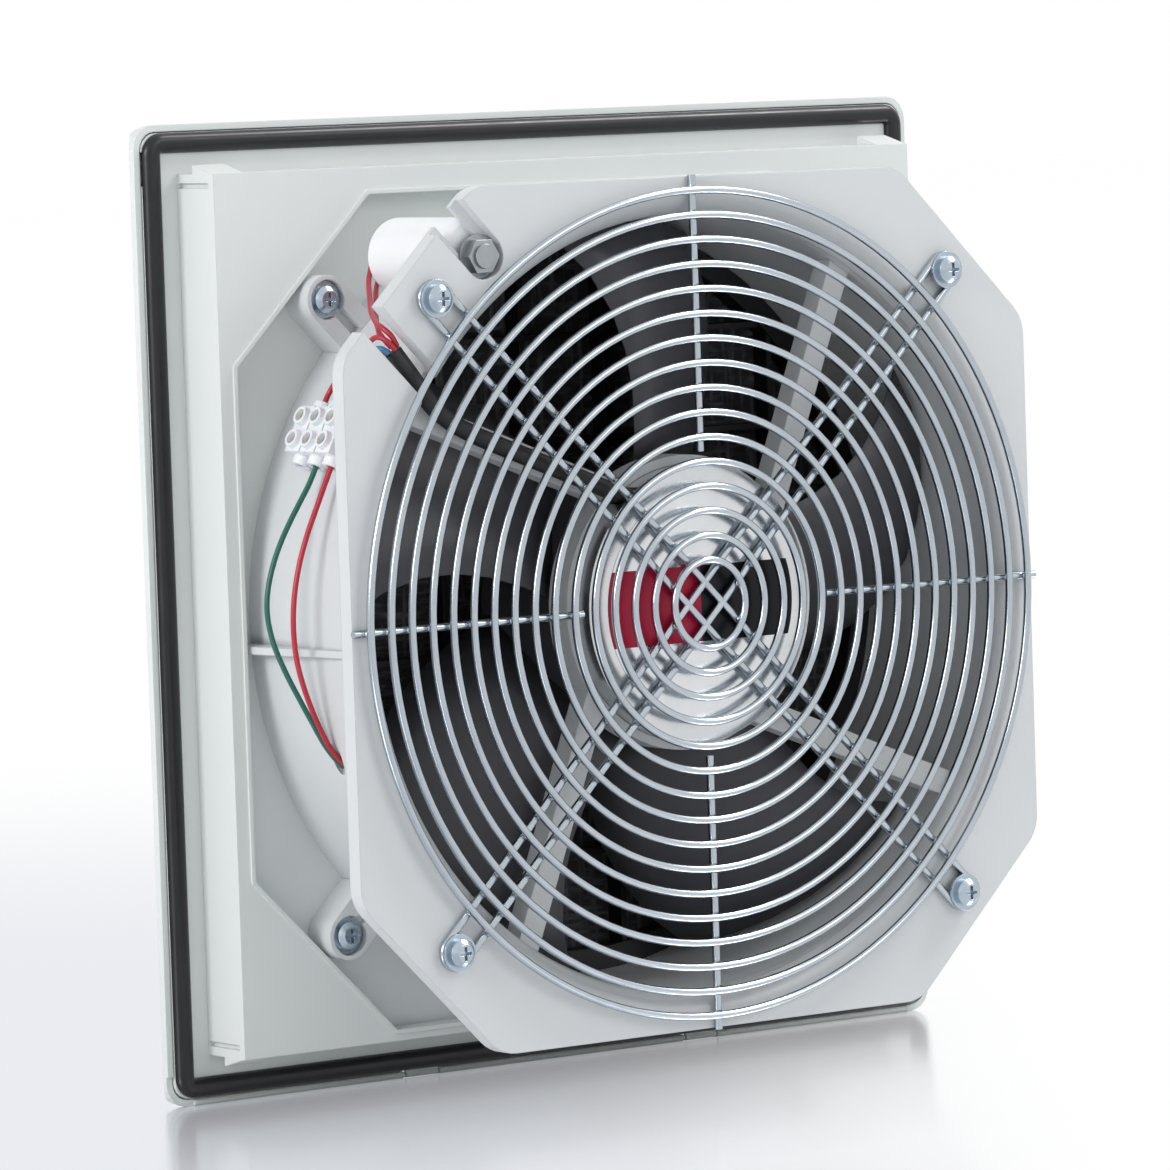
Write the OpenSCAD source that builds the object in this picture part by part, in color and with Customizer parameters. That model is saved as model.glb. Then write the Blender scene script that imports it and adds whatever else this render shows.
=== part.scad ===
// Cabinet filter fan: a louvred front cover, a square base frame with gasket and filter mat,
// and an axial fan with a wire guard on the cabinet side.
// Shapes are drawn with x to the right and y up as seen from the fan side, and z towards the fan side.
// z = 0 is the face that bears on the cabinet panel.
// The finished part stands with +Z up and +Y into the cabinet.

/* [Front cover] */
// Depth of the cover in front of the panel face
cover_d = 18; // [16:0.5:20]
// Thickness of the skirt round the cover
skirt_t = 2.2; // [2:0.1:2.6]
// Radius of the outer corners of cover and flange
corner_r = 8; // [6:0.5:10]
// Thickness of the cover's front
cover_front_t = 2.5; // [2:0.1:4]
// Width and height of the louvred field
louvre_w = 252; // [200:1:264]
// Number of louvre slats
louvre_count = 10; // [6:1:14]
// Thickness of a slat
slat_t = 2.2; // [1.6:0.1:3]
// Depth of the slats from the front
slat_d = 10; // [7:0.5:10.5]
// Rise of a slat from its front edge to its back edge
slat_rise = 16; // [10:0.5:20]
// Wall of the frame round the slats, and of its mullions
louvre_wall = 2; // [1.5:0.1:3]
// Number of upright mullions behind the slats
mullion_count = 2; // [1:1:4]

/* [Cover hinge] */
// Distance of each hinge from the middle
hinge_x = 58.7; // [40:0.1:100]
// Width of a hinge window in the skirt
hinge_window = 14.4; // [10:0.1:20]
// Radius of a hinge pin
pin_r = 0.6; // [0.5:0.05:0.65]
// Length of pin held in the skirt on each side of a window
pin_grip = 6; // [4:0.5:10]

/* [Cover latches] */
// Distance of the latch slots below the flange's top edge
latch_drop = 11.5; // [10:0.5:60]
// Length of a latch slot
latch_l = 11; // [8:0.5:14]
// Depth of a latch slot in the flange's edge
latch_d = 2; // [1.5:0.1:2.5]

/* [Base frame] */
// Thickness of the flange
flange_t = 2.6; // [2.4:0.1:3.4]
// How far the flange laps over the panel, all round
flange_lap = 13.6; // [13.2:0.1:15]
// Height of the plinth behind the panel face
plinth_h = 21; // [19:0.5:24]
// Wall of the plinth and of its face
frame_wall = 3; // [2.5:0.1:3.4]
// Distance from the recess out to the plinth's sides
recess_margin = 6.3; // [6:0.1:8]
// Gap between the shroud and the sides of the recess
recess_clear = 7; // [6:0.25:9]
// Depth of the recess below the plinth's face
recess_d = 8; // [6:0.5:9]
// Height of the thin lip round the recess
lip_h = 0.8; // [0.4:0.1:1.5]
// Thickness of the lip
lip_t = 1.4; // [1:0.1:2]
// Thickness of the recess floor
floor_t = 3; // [2.5:0.1:4]
// How far the floor reaches in under the shroud
floor_seat = 5.5; // [4:0.5:8]
// Number of grid ribs each way across the inlet
rib_count = 6; // [4:1:8]
// Thickness of a grid rib
rib_t = 2; // [1.5:0.1:3]
// Length of a corner snap tongue
tongue_l = 12.5; // [8:0.5:18]
// Width of the groove that lets a tongue flex
tongue_groove = 1.6; // [0.8:0.1:2]
// How far a tongue's barb stands out from the plinth
tongue_out = 3; // [1.5:0.25:3.5]
// Height of a barb's catch above the panel face
tongue_catch = 9; // [7:0.5:11]

/* [Gasket and filter mat] */
// Width of the gasket
gasket_w = 6.6; // [6:0.2:8]
// Height of the gasket
gasket_h = 3; // [3:0.1:5]
// Radius of the gasket's upper edges
gasket_edge_r = 1.4; // [1:0.1:1.5]
// Thickness of the filter mat
mat_t = 10; // [8:0.5:10.5]

/* [Fan housing] */
// Height of the fan's outer face above the panel face
fan_top = 85; // [84:0.5:95]
// How far the fan's axis lies below the middle of the frame
fan_drop = 2.5; // [0:0.5:3]
// Reach of the plate's sides beyond the shroud
plate_lap = 9.5; // [9:0.25:11]
// Thickness of the fan plate
plate_t = 6; // [5:0.5:7]
// Reach of the plate's chamfered corners beyond the shroud
plate_corner_lap = 30; // [29:0.25:32]
// Radius of the plate's eight corners
plate_corner_r = 14; // [6:1:20]
// Inner radius of the duct
duct_r = 127.5; // [126:0.25:128]
// Wall of the shroud
shroud_t = 3; // [2.5:0.25:3.25]
// Radius of the bell mouth
bell_r = 8; // [6:0.5:9]
// Distance of the feet's screws out from the shroud
foot_out = 16.6; // [15.5:0.1:18]
// Height of a foot above the recess floor
foot_h = 13; // [10:0.5:15]
// Wall round the screw pocket of a foot
foot_rim = 1.5; // [1:0.1:2.5]
// Depth of the screw pocket and groove in a foot
foot_pocket_d = 3; // [2:0.25:4]
// Angle by which the side fins stand above the level axis
fin_angle = 3.5; // [0:0.5:8]
// Thickness of a side fin
fin_t = 2.5; // [2:0.1:4]
// Reach of a side fin beyond the shroud
fin_reach = 5.5; // [3:0.5:6.5]

/* [Struts and motor] */
// Width of a strut
strut_w = 8.5; // [6:0.5:11]
// Height of a strut along the axis
strut_h = 8; // [6:0.5:10]
// Gap from the fan's outer face down to the struts
strut_drop = 9; // [8.5:0.25:12]
// Distance at which a strut's centre line passes the axis
strut_offset = 24.6; // [10:0.2:32]
// Direction of the first strut's outer end
strut_angle = 57.5; // [50:0.5:65]
// Outer radius of the motor base
motor_r = 45.5; // [44:0.25:48]
// Length of the motor base
motor_h = 16; // [14:0.5:17]
// Wall of the motor base
motor_wall = 2.5; // [2:0.1:3.5]
// Wall of the ring that holds the motor base
hub_t = 3; // [2.5:0.25:4]
// Radius of the label disc
label_r = 37.8; // [30:0.2:42]
// Thickness of the label disc
label_t = 0.3; // [0.2:0.05:0.5]

/* [Rotor] */
// Outer radius of the rotor cup
rotor_r = 44; // [42:0.25:46]
// Height of the rotor cup
rotor_h = 40; // [36:0.5:44]
// Wall of the rotor cup
rotor_t = 2.5; // [2:0.1:3]
// Thickness of the rotor's cage ring
cage_t = 3.4; // [2.5:0.1:4]
// Radius of the shaft
shaft_r = 3.95; // [3.5:0.05:4.5]
// Outer radius of the ball bearings
bearing_r = 8; // [7:0.25:9]
// Width of a ball bearing
bearing_w = 6; // [5:0.5:8]
// Number of winding slots in the stator
stator_slots = 12; // [8:1:16]

/* [Impeller] */
// Number of blades
blade_count = 5; // [3:1:7]
// Gap between blade tips and duct
tip_gap = 2.5; // [1.5:0.25:5]
// Chord of a blade at its root
root_chord = 62; // [45:1:66]
// Chord of a blade at its tip
tip_chord = 88; // [60:1:96]
// Blade angle at the root
root_angle = 38; // [30:1:40]
// Blade angle at the tip
tip_angle = 22; // [16:1:25]
// Forward sweep of the tip
tip_sweep_angle = 16; // [0:1:30]
// Greatest thickness of a blade
blade_t = 3.2; // [2.4:0.1:4]
// Camber as a share of the chord
blade_camber_share = 0.07; // [0:0.01:0.1]

/* [Wire guard] */
// Diameter of the guard's wire
wire_d = 2.6; // [2:0.1:2.8]
// Number of rings
ring_count = 16; // [10:1:18]
// Radius of the smallest ring
ring_r_min = 14.5; // [12:0.5:20]
// Spacing of a hairpin's two wires
hairpin_gap = 10; // [9:0.2:11]
// Distance of the guard's screws out from the shroud
guard_out = 17.7; // [17:0.1:19]
// Radius at which the short radial wires start
radial_r_in = 50; // [40:1:70]
// How far the short radial wires reach past the plate's sides
radial_over = 0.5; // [-2:0.25:1]

/* [Screws] */
// Shank radius of the guard and foot screws
screw_r = 2; // [1.6:0.1:2.2]
// Head radius of the screws
head_r = 4.6; // [4:0.1:5]
// Height of the screw heads
head_h = 3.2; // [2.6:0.1:4]
// Radius of the washers
washer_r = 6.2; // [5.8:0.1:6.8]
// Thickness of the washers
washer_t = 1; // [0.8:0.1:1.4]
// Length of the guard screws' shanks below the plate's face
guard_screw_l = 16; // [12:0.5:18]

/* [Capacitor] */
// Radius of the capacitor's can
cap_r = 12.5; // [11:0.25:13]
// Length of the can
cap_l = 42; // [38:0.5:43]
// Place of the capacitor along the plate's corner chamfer
cap_along = 24; // [23:0.2:25]
// Gap between the can and the shroud
cap_clear = 1; // [0.8:0.1:2]
// Radius of the capacitor's stud
stud_r = 3.9; // [3.5:0.1:4]
// Width of the slot that the stud slides into
stud_slot = 15; // [14.6:0.2:15.4]
// Thickness of the plate's floor under the nut
stud_floor = 2; // [1.6:0.1:2.4]

/* [Terminal block] */
// Direction of the terminal block from the fan axis
block_angle = 153; // [152:0.25:154]
// Number of poles
pole_count = 3; // [2:1:3]
// Spacing of the poles
pole_pitch = 8.5; // [8:0.1:9]
// Height of the middle of the block above the panel face
block_z = 46; // [44:0.5:48]
// Length of the block's body along the wires
block_l = 16; // [14:0.5:18]
// Height of the block's body
block_h = 9; // [8:0.5:11]
// Length of each wire collar beyond the body
collar_l = 3; // [2:0.25:4]

/* [Wiring] */
// Diameter of the loose wires and leads
lead_d = 1.8; // [1.4:0.1:1.9]
// Diameter of the motor cable's sleeve
sleeve_d = 6; // [5.6:0.1:6.2]
// Width of the cable notch in the fan plate
notch_w = 10.8; // [10.6:0.2:11.6]
// Place of the cable notch along the plate's corner chamfer
notch_along = -20.2; // [-20.4:0.1:-20]

/* [Fits] */
// Gap between the cover's skirt and the flange
cover_gap = 0.4; // [0.35:0.05:0.6]
// Gap between the cover's skirt and the panel face
seat_gap = 0.2; // [0.15:0.05:0.4]
// Running clearance of hinge pins and shaft
running_gap = 0.05; // [0.03:0.01:0.08]
// Clearance of parts that are pressed or bolted together
assembly_gap = 0.1; // [0.05:0.05:0.2]
// Clearance round soft parts and loosely seated parts
soft_gap = 0.3; // [0.2:0.05:0.4]

/* [Hidden] */
$fn = 96;

// Overshoot of cuts, so that no cut ends on a face
cut = 1;
// Overlap by which moulded features run into their walls
sink = 0.6;
// Segments of a rounded corner in an outline
corner_steps = 5;

// Plan sizes, from the duct outwards
shroud_r = duct_r + shroud_t;
plate_w = 2 * (shroud_r + plate_lap);
plate_chamfer_at = shroud_r + plate_corner_lap;
recess_w = 2 * (shroud_r + recess_clear);
plinth_w = recess_w + 2 * recess_margin;
flange_w = plinth_w + 2 * flange_lap;
cover_w = flange_w + 2 * (skirt_t + cover_gap);

// Cover and hinge
skirt_h = flange_t + cover_gap;
slope_out = cover_w / 2 + skirt_h;
slope_in = flange_w / 2 + flange_t + cover_gap * sqrt(2);
flange_corner_r = corner_r - skirt_t;
hinge_r = (skirt_t - assembly_gap) / 2;
hinge_y = -(cover_w - skirt_t) / 2;
hinge_z = -seat_gap - hinge_r;
knuckle_w = hinge_window - 4 * cover_gap;
knuckle_bore_r = pin_r + running_gap;
pin_l = hinge_window + 2 * pin_grip;
window_z = hinge_z - 2 * skirt_t;
seam_gap = assembly_gap / 5;
louvre_out = louvre_w + 2 * louvre_wall;
louvre_pitch = louvre_w / louvre_count;
latch_y = flange_w / 2 - latch_drop;
latch_nib = latch_d - cover_gap;
latch_nib_h = 1.2;

// Base frame
plinth_in = plinth_w - 2 * frame_wall;
floor_z = plinth_h - recess_d;
floor_bottom = floor_z - floor_t;
foot_reach = shroud_r + foot_out;
foot_pitch = foot_reach / sqrt(2);
foot_pocket_r = washer_r + soft_gap;
foot_r = foot_pocket_r + foot_rim;
recess_chamfer_at = foot_reach + foot_r + 4 * soft_gap;
recess_wall = 4;
boss_r = 5;
rib_drop = 4.5;
mat_back = floor_bottom - rib_drop;
mat_w = plinth_in - 2 * soft_gap;
rib_bottom = mat_back + soft_gap;
grid_r = duct_r - floor_seat - soft_gap;
grid_rim = 2;
grid_flange_t = 1.2;
rib_pitch = 2 * grid_r / (rib_count + 1);
gasket_mid = flange_w / 2 - gasket_w / 2 - assembly_gap;

// Fan housing
plate_z = fan_top - plate_t;
guard_reach = shroud_r + guard_out;
guard_pitch = guard_reach / sqrt(2);
guard_boss_r = 6;
foot_top = floor_z + foot_h;
foot_seat = foot_top - foot_pocket_d;
strut_top = fan_top - strut_drop;
strut_z = strut_top - strut_h;
foot_groove_w = 4;
pad_step = 0.5;
pad_r = shroud_r + pad_step;

// Motor stack, measured down from the label side
motor_sunk = 1;
motor_top = fan_top - motor_sunk;
motor_z = motor_top - motor_h;
motor_cap_t = 4;
hub_r = motor_r + assembly_gap;
hub_lip = 3.5;
hub_lip_t = 2;
hub_z = motor_z - hub_lip_t;
strut_in = sqrt(pow(hub_r, 2) - pow(strut_offset + strut_w / 2, 2));
cable_entry = sqrt(pow(motor_r, 2) - pow(strut_offset, 2));
strut_turn = strut_angle + asin(strut_offset / (duct_r + sink));
tube_wall = 3;
tube_r = bearing_r + tube_wall;
rotor_clear = 4;
rotor_top = hub_z - rotor_clear;
rotor_z = rotor_top - rotor_h;
rotor_in = rotor_r - rotor_t;
rotor_boss_r = 9;
rotor_boss_h = 4;
tube_clear = 1.5;
tube_z = rotor_z + rotor_t + rotor_boss_h + tube_clear;
cage_in = rotor_in - cage_t;
air_gap = 0.5;
stator_r = cage_in - air_gap;
stator_h = rotor_h / 2;
stator_lift_share = 0.3;
stator_z = rotor_z + rotor_h * stator_lift_share;
slot_r = 4.2;
slot_shift = 2.5;
slot_at = (stator_r + tube_r) / 2 + slot_shift;
coil_w = 16;
coil_h = 4.5;
shaft_clear = 1;
shaft_top = motor_top - motor_cap_t - shaft_clear;
bearing_bore_r = shaft_r + running_gap;
bearing_inset = 2;
low_bearing_z = tube_z + bearing_inset;
high_bearing_z = shaft_top - bearing_w - 2 * bearing_inset;
circlip_t = 1;
circlip_w = 2;
circlip_z = high_bearing_z + bearing_w + circlip_t;

// Impeller
tip_r = duct_r - tip_gap;
blade_root_sink = 0.3;
blade_share = 0.44;
blade_z = rotor_top - rotor_h * blade_share;
blade_edge_share = 0.12;
blade_sections = 7;
blade_steps = 6;

// Guard
wire_r = wire_d / 2;
spoke_z = fan_top + wire_r + assembly_gap / 2;
ring_z = spoke_z + wire_d + assembly_gap / 5;
ring_r_max = duct_r + bell_r;
ring_step = (ring_r_max - ring_r_min) / (ring_count - 1);
radial_r_out = plate_w / 2 + radial_over;
washer_z = spoke_z + wire_r;
washer_hole_r = screw_r + 3 * assembly_gap;
screw_hole_r = screw_r + assembly_gap;
cross_w = 1.1;
cross_d = 1.8;

// Capacitor
cap_out = sqrt(pow(shroud_r + cap_r + cap_clear, 2) - pow(cap_along, 2));
cap_x = (cap_along - cap_out) / sqrt(2);
cap_y = (cap_along + cap_out) / sqrt(2);
cap_z = plate_z - cap_l;
stud_washer_t = 1;
stud_washer_r = stud_slot / 2 - soft_gap;
nut_wall = 2.2;
nut_r = stud_r + nut_wall;
nut_h = 3.2;
stud_over = 1;
stud_top = plate_z + stud_floor + stud_washer_t + nut_h + stud_over;
stud_hole_r = stud_r + 4 * assembly_gap;
can_edge_r = 1.5;

// Terminal block
block_seat = pad_r;
collar_r = 3.2;
collar_in = 3.5;
collar_at = block_seat + collar_in;
wire_hole_gap = 0.8;
wire_hole_r = lead_d / 2 + wire_hole_gap;
block_web = 2;
pole_gap = 0.6;
pole_w = pole_pitch - pole_gap;
turret_r = 3;
turret_h = 2;
turret_y = block_l / 4;
block_screw_r = 1.9;

// Routes of cable, leads and wires, from the fan axis
cable_route = [[-25, 36.2, 79.4], [-32.3, 39, 79.4], [-39.4, 41.8, 79.4], [-46.3, 44.5, 79.4],
    [-53.5, 47.3, 79.4], [-60.7, 50.1, 79.4], [-67.6, 52.8, 79.4], [-74.6, 55.5, 79.4], [-81.9, 58.5, 79.4],
    [-88.7, 61.5, 79.4], [-95.5, 65.2, 79.4], [-101.4, 69.9, 79.4], [-106.4, 75.9, 79.4],
    [-110.8, 82, 78.7], [-115, 88.2, 77.4]];
red_lead_route = [[-115.4, 88.8, 79.2], [-117.4, 91.4, 78.5], [-118.9, 93, 76], [-118.9, 92.7, 72.6],
    [-118.4, 91.5, 69.6], [-117.8, 90.1, 66.4], [-117.2, 88.8, 63.5], [-116.6, 87.4, 60.3],
    [-115.9, 86, 57.3], [-115.3, 84.7, 54.4], [-114.7, 83.4, 51.3], [-114, 82, 48.1], [-113.3, 80.5, 45.1],
    [-112.4, 79, 42.2], [-111.9, 77.2, 39.4], [-112.8, 74.4, 37.6], [-114.4, 71.6, 37.5],
    [-116, 68.5, 37.5]];
blue_lead_route = [[-116.8, 87.8, 77.9], [-118.4, 89.3, 76.4], [-118.9, 89.3, 73.6], [-118.3, 88.4, 71.1],
    [-117.6, 87.3, 68.5], [-116.9, 86.1, 66], [-116.3, 85, 63.6], [-115.6, 83.8, 61], [-115, 82.7, 58.7],
    [-114.3, 81.5, 56.2], [-113.6, 80.2, 53.6], [-112.7, 79, 51.2], [-112, 77.8, 48.8],
    [-112.1, 75.9, 46.8], [-113.3, 73.4, 46], [-114.7, 71, 46], [-116, 68.5, 46]];
brown_lead_route = [[-116.1, 87.9, 75.8], [-116.5, 87.5, 73.5], [-116.2, 86.4, 71.4], [-115.7, 85.2, 69.5],
    [-115.2, 84, 67.6], [-114.6, 82.8, 65.5], [-114, 81.7, 63.6], [-113.5, 80.5, 61.5],
    [-112.8, 79.4, 59.6], [-112.1, 78.1, 57.7], [-111.9, 76.6, 55.9], [-112.6, 74.7, 54.8],
    [-113.8, 72.7, 54.5], [-114.9, 70.6, 54.5], [-116, 68.5, 54.5]];
capacitor_a_route = [[-113.8, 90, 78], [-115.9, 93.3, 78.1], [-117.4, 95.9, 75.6], [-116.8, 97, 72],
    [-115.2, 97.9, 68.4], [-113.4, 98.8, 65], [-111.6, 99.7, 61.7], [-109.5, 100.7, 58.2],
    [-107.5, 101.7, 55.1], [-105.3, 102.8, 51.8], [-103.2, 103.9, 48.7], [-101.1, 105.3, 45.5],
    [-99.1, 106.8, 42.5], [-97, 108.5, 39.4], [-94.9, 110.3, 36.6], [-92.7, 112.3, 34.2],
    [-90.3, 114.6, 31.8], [-87.6, 117.1, 30.7], [-85.3, 119.2, 32.8], [-84.9, 119.5, 36.7]];
capacitor_b_route = [[-114.5, 89.5, 76], [-116.3, 92.3, 74.4], [-115.7, 94.1, 71.2], [-113.9, 95.2, 68.1],
    [-112.1, 96.2, 65], [-110.1, 97.2, 61.7], [-108.2, 98.2, 58.9], [-106, 99.2, 55.7],
    [-103.8, 100.1, 52.6], [-101.8, 101, 49.9], [-99.6, 102.1, 46.8], [-97.5, 103.3, 43.8],
    [-95.5, 104.4, 41], [-93.5, 105.7, 38.2], [-91.2, 107.2, 35.4], [-88.9, 108.9, 32.9],
    [-86.5, 110.9, 30.7], [-83.9, 113.3, 30.3], [-82.1, 115.1, 33], [-81.9, 115.3, 36.7]];
green_route = [[-123.4, 54, 46], [-124.8, 51.3, 46], [-128, 45.5, 46], [-132.8, 38.5, 46], [-138, 30.5, 46],
    [-142.3, 22, 46], [-145.2, 12.5, 46], [-145.6, 4, 46], [-143.6, -5, 46.2], [-139.8, -14, 46.6],
    [-135.2, -23, 47.2], [-131, -31, 48], [-127.3, -37.8, 48.6], [-123.6, -42.6, 48.8], [-120, -45.8, 48.8]];
red_route = [[-123.4, 54, 54.5], [-124.8, 51.3, 54.5], [-127.2, 46.5, 54.5], [-130.6, 39.5, 54.5],
    [-134.8, 30.5, 54.4], [-138.2, 21, 54.2], [-140.4, 11, 54], [-141, 1, 53.7], [-140, -9, 53.3],
    [-137.4, -18, 52.8], [-133.8, -26.5, 52.2], [-130, -33.8, 51.6], [-126.9, -38.9, 51.3],
    [-123.6, -42.6, 51.2], [-120, -45.8, 51.2]];
// Wires pass through one hole in the shroud, bored along their last stretch
shroud_hole_r = 2.6;
shroud_hole_turn = -41.6;
shroud_hole_at = [-123.6, -42.6, 50];
route_steps = 2;
lead_sides = 8;
sleeve_sides = 12;

module placed() {
    rotate([90, 0, 180])
        children();
}

module on_fan_axis() {
    translate([0, -fan_drop, 0])
        children();
}

// Children at the four corners of a square pattern, and of the same pattern as turned copies
module at_corners(pitch) {
    for (x = [-pitch, pitch], y = [-pitch, pitch])
        translate([x, y, 0])
            children();
}

module at_quarters(turn) {
    for (quarter = [0 : 3])
        rotate([0, 0, turn + 90 * quarter])
            children();
}

function unit(v) = v / norm(v);
function at_angle(r, angle) = [r * cos(angle), r * sin(angle)];

// Outline of a polygon with each corner rounded by an arc
function rounded(points, r) = let (n = len(points)) [for (i = [0 : n - 1])
    let (p = points[i], u = unit(points[(i + n - 1) % n] - p), v = unit(points[(i + 1) % n] - p),
        half = acos(u * v) / 2, centre = p + unit(u + v) * r / sin(half),
        start = atan2(-v.x, v.y), turn = 180 - 2 * half)
    for (k = [0 : corner_steps])
        centre + at_angle(r, start + turn * (k / corner_steps - 1))];

function square_points(w) = [[-w / 2, -w / 2], [w / 2, -w / 2], [w / 2, w / 2], [-w / 2, w / 2]];

// Octagon across flats w, with its diagonal sides at a given distance from the middle
function octagon_points(w, diagonal) = let (a = w / 2, b = diagonal * sqrt(2) - w / 2)
    [[b, -a], [a, -b], [a, b], [b, a], [-b, a], [-a, b], [-a, -b], [-b, -a]];

module square_outline(w, r) {
    polygon(rounded(square_points(w), r));
}

module octagon_outline(w, diagonal, r) {
    polygon(rounded(octagon_points(w, diagonal), r));
}

module slab(z_low, z_high) {
    translate([0, 0, z_low])
        linear_extrude(z_high - z_low)
            children();
}

module ring_solid(r_out, r_in, z_low, z_high) {
    slab(z_low, z_high)
        difference() {
            circle(r = r_out);
            circle(r = r_in);
        }
}

// A profile in (y, z) run along x
module along_x(length) {
    rotate([90, 0, 90])
        linear_extrude(length, center = true)
            children();
}

// Front cover
module skirt_outline() {
    difference() {
        square_outline(cover_w, corner_r);
        square_outline(cover_w - 2 * skirt_t, corner_r - skirt_t);
    }
}

module slat_profile() {
    slat_back = slat_d - cover_d;
    polygon([[0, -cover_d], [slat_t, -cover_d], [slat_t + slat_rise, slat_back], [slat_rise, slat_back]]);
}

module cover_louvres() {
    color("#e9ebea") placed() {
        slab(-cover_d, slat_d - cover_d)
            difference() {
                square(louvre_out, center = true);
                square(louvre_w, center = true);
            }
        intersection() {
            slab(-cover_d, slat_d - cover_d)
                square(louvre_w + louvre_wall, center = true);
            for (i = [-1 : louvre_count - 1])
                translate([0, i * louvre_pitch - (louvre_w + slat_t) / 2, 0])
                    along_x(louvre_w + louvre_wall)
                        slat_profile();
        }
        for (i = [1 : mullion_count])
            translate([(i / (mullion_count + 1) - 1 / 2) * louvre_w, 0, 0])
                slab(cover_front_t - cover_d, slat_d - cover_d)
                    square([louvre_wall, louvre_w + louvre_wall], center = true);
    }
}

// Square block whose front edges slope inwards at 45 degrees, to where a slope would meet the panel face
module sloped_block(w, r, z_low, z_high, slope_at) {
    difference() {
        slab(z_low, z_high)
            square_outline(w, r);
        for (side = [0 : 3])
            rotate([0, 0, 90 * side])
                translate([-w, slope_at, 0])
                    rotate([-45, 0, 0])
                        translate([0, 0, -3 * cover_d])
                            cube([2 * w, 2 * cover_d, 4 * cover_d]);
    }
}

module cover_shell() {
    inner_front = cover_front_t - cover_d;
    difference() {
        sloped_block(cover_w, corner_r, -cover_d, hinge_z, slope_out);
        sloped_block(cover_w - 2 * skirt_t, corner_r - skirt_t, inner_front, hinge_z + cut, slope_in);
        slab(-cover_d - cut, inner_front + cut)
            square(louvre_out + 2 * seam_gap, center = true);
    }
}

module front_cover() {
    skirt_free = corner_r + skirt_t;
    latch_nib_z = -flange_t / 2 - latch_nib_h;
    color("#e9ebea") placed() difference() {
        union() {
            cover_shell();
            slab(hinge_z - sink, -seat_gap)
                intersection() {
                    skirt_outline();
                    translate([0, skirt_free])
                        square(cover_w, center = true);
                }
            translate([0, hinge_y, hinge_z])
                rotate([0, 90, 0])
                    cylinder(r = hinge_r, h = cover_w - 2 * skirt_free, center = true);
            for (side = [-1, 1])
                translate([side * (cover_w / 2 - skirt_t + (sink - latch_nib) / 2), latch_y, latch_nib_z])
                    cube([latch_nib + sink, latch_l - 4 * cover_gap, latch_nib_h], center = true);
        }
        for (side = [-1, 1])
            translate([side * hinge_x, hinge_y, 0]) {
                translate([0, 0, (window_z + cut) / 2])
                    cube([hinge_window, skirt_t + 2 * cut, cut - window_z], center = true);
                translate([0, 0, hinge_z])
                    rotate([0, 90, 0])
                        cylinder(r = pin_r + assembly_gap / 5, h = pin_l + 2 * assembly_gap, center = true);
            }
    }
}

module hinge_pins() {
    color("silver") placed()
        for (side = [-1, 1])
            translate([side * hinge_x, hinge_y, hinge_z])
                rotate([0, 90, 0])
                    cylinder(r = pin_r, h = pin_l, center = true);
}

// Base frame
module hinge_knuckle() {
    translate([0, hinge_y, hinge_z])
        rotate([0, 90, 0])
            cylinder(r = hinge_r, h = knuckle_w, center = true);
    translate([0, (hinge_y - flange_w / 2 + sink) / 2, hinge_z])
        cube([knuckle_w, sink - flange_w / 2 - hinge_y, 2 * (hinge_r - sink / 2)], center = true);
}

// Corner snap tongues: barbs that click behind the panel, with grooves that thin the plinth's sides
module tongue_barbs() {
    wall_y = plinth_w / 2;
    for (turn = [0, 180], side = [-1, 1])
        rotate([0, 0, turn])
            translate([side * (plinth_w - tongue_l) / 2, 0, 0])
                along_x(tongue_l)
                    polygon([[wall_y - sink, tongue_catch], [wall_y + tongue_out, tongue_catch],
                        [wall_y, plinth_h - cut], [wall_y - sink, plinth_h - cut]]);
}

module tongue_grooves() {
    groove_x = plinth_w / 2;
    groove_y = (plinth_in - tongue_groove) / 2;
    groove_top = plinth_h - frame_wall;
    for (x = [-groove_x, groove_x], y = [-groove_y, groove_y])
        translate([x, y, (groove_top + sink) / 2])
            cube([frame_wall, tongue_groove, groove_top - sink], center = true);
}

module frame_shell() {
    difference() {
        union() {
            slab(-flange_t, 0)
                square_outline(flange_w, flange_corner_r);
            slab(-flange_t, plinth_h)
                square(plinth_w, center = true);
            tongue_barbs();
            on_fan_axis()
                slab(plinth_h - sink, plinth_h + lip_h)
                    octagon_outline(recess_w + 2 * lip_t, recess_chamfer_at + lip_t, lip_t);
        }
        slab(-flange_t - cut, floor_bottom)
            square(plinth_in, center = true);
        slab(floor_bottom - cut, plinth_h - frame_wall)
            difference() {
                square(plinth_in, center = true);
                translate([0, -fan_drop])
                    octagon_outline(recess_w + 2 * recess_wall, recess_chamfer_at + recess_wall, lip_t);
            }
        on_fan_axis() {
            slab(floor_z, plinth_h + lip_h + cut)
                octagon_outline(recess_w, recess_chamfer_at, lip_t);
            translate([0, 0, floor_bottom - cut])
                cylinder(r = duct_r - floor_seat, h = floor_t + 2 * cut);
        }
        tongue_grooves();
        for (side = [-1, 1])
            translate([side * (flange_w - latch_d + cut) / 2, latch_y, -flange_t / 2])
                cube([latch_d + cut, latch_l, flange_t + 2 * cut], center = true);
    }
}

module base_frame() {
    color("#dfe3e2") placed() difference() {
        union() {
            frame_shell();
            on_fan_axis()
                at_corners(foot_pitch)
                    translate([0, 0, rib_bottom])
                        cylinder(r = boss_r, h = floor_z - rib_bottom - sink);
            for (side = [-1, 1])
                translate([side * hinge_x, 0, 0])
                    hinge_knuckle();
        }
        on_fan_axis()
            at_corners(foot_pitch)
                translate([0, 0, rib_bottom - cut])
                    cylinder(r = screw_hole_r, h = floor_z - rib_bottom + 2 * cut);
        for (side = [-1, 1])
            translate([side * hinge_x, hinge_y, hinge_z])
                rotate([0, 90, 0])
                    cylinder(r = knuckle_bore_r, h = knuckle_w + 2 * cut, center = true);
    }
}

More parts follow.
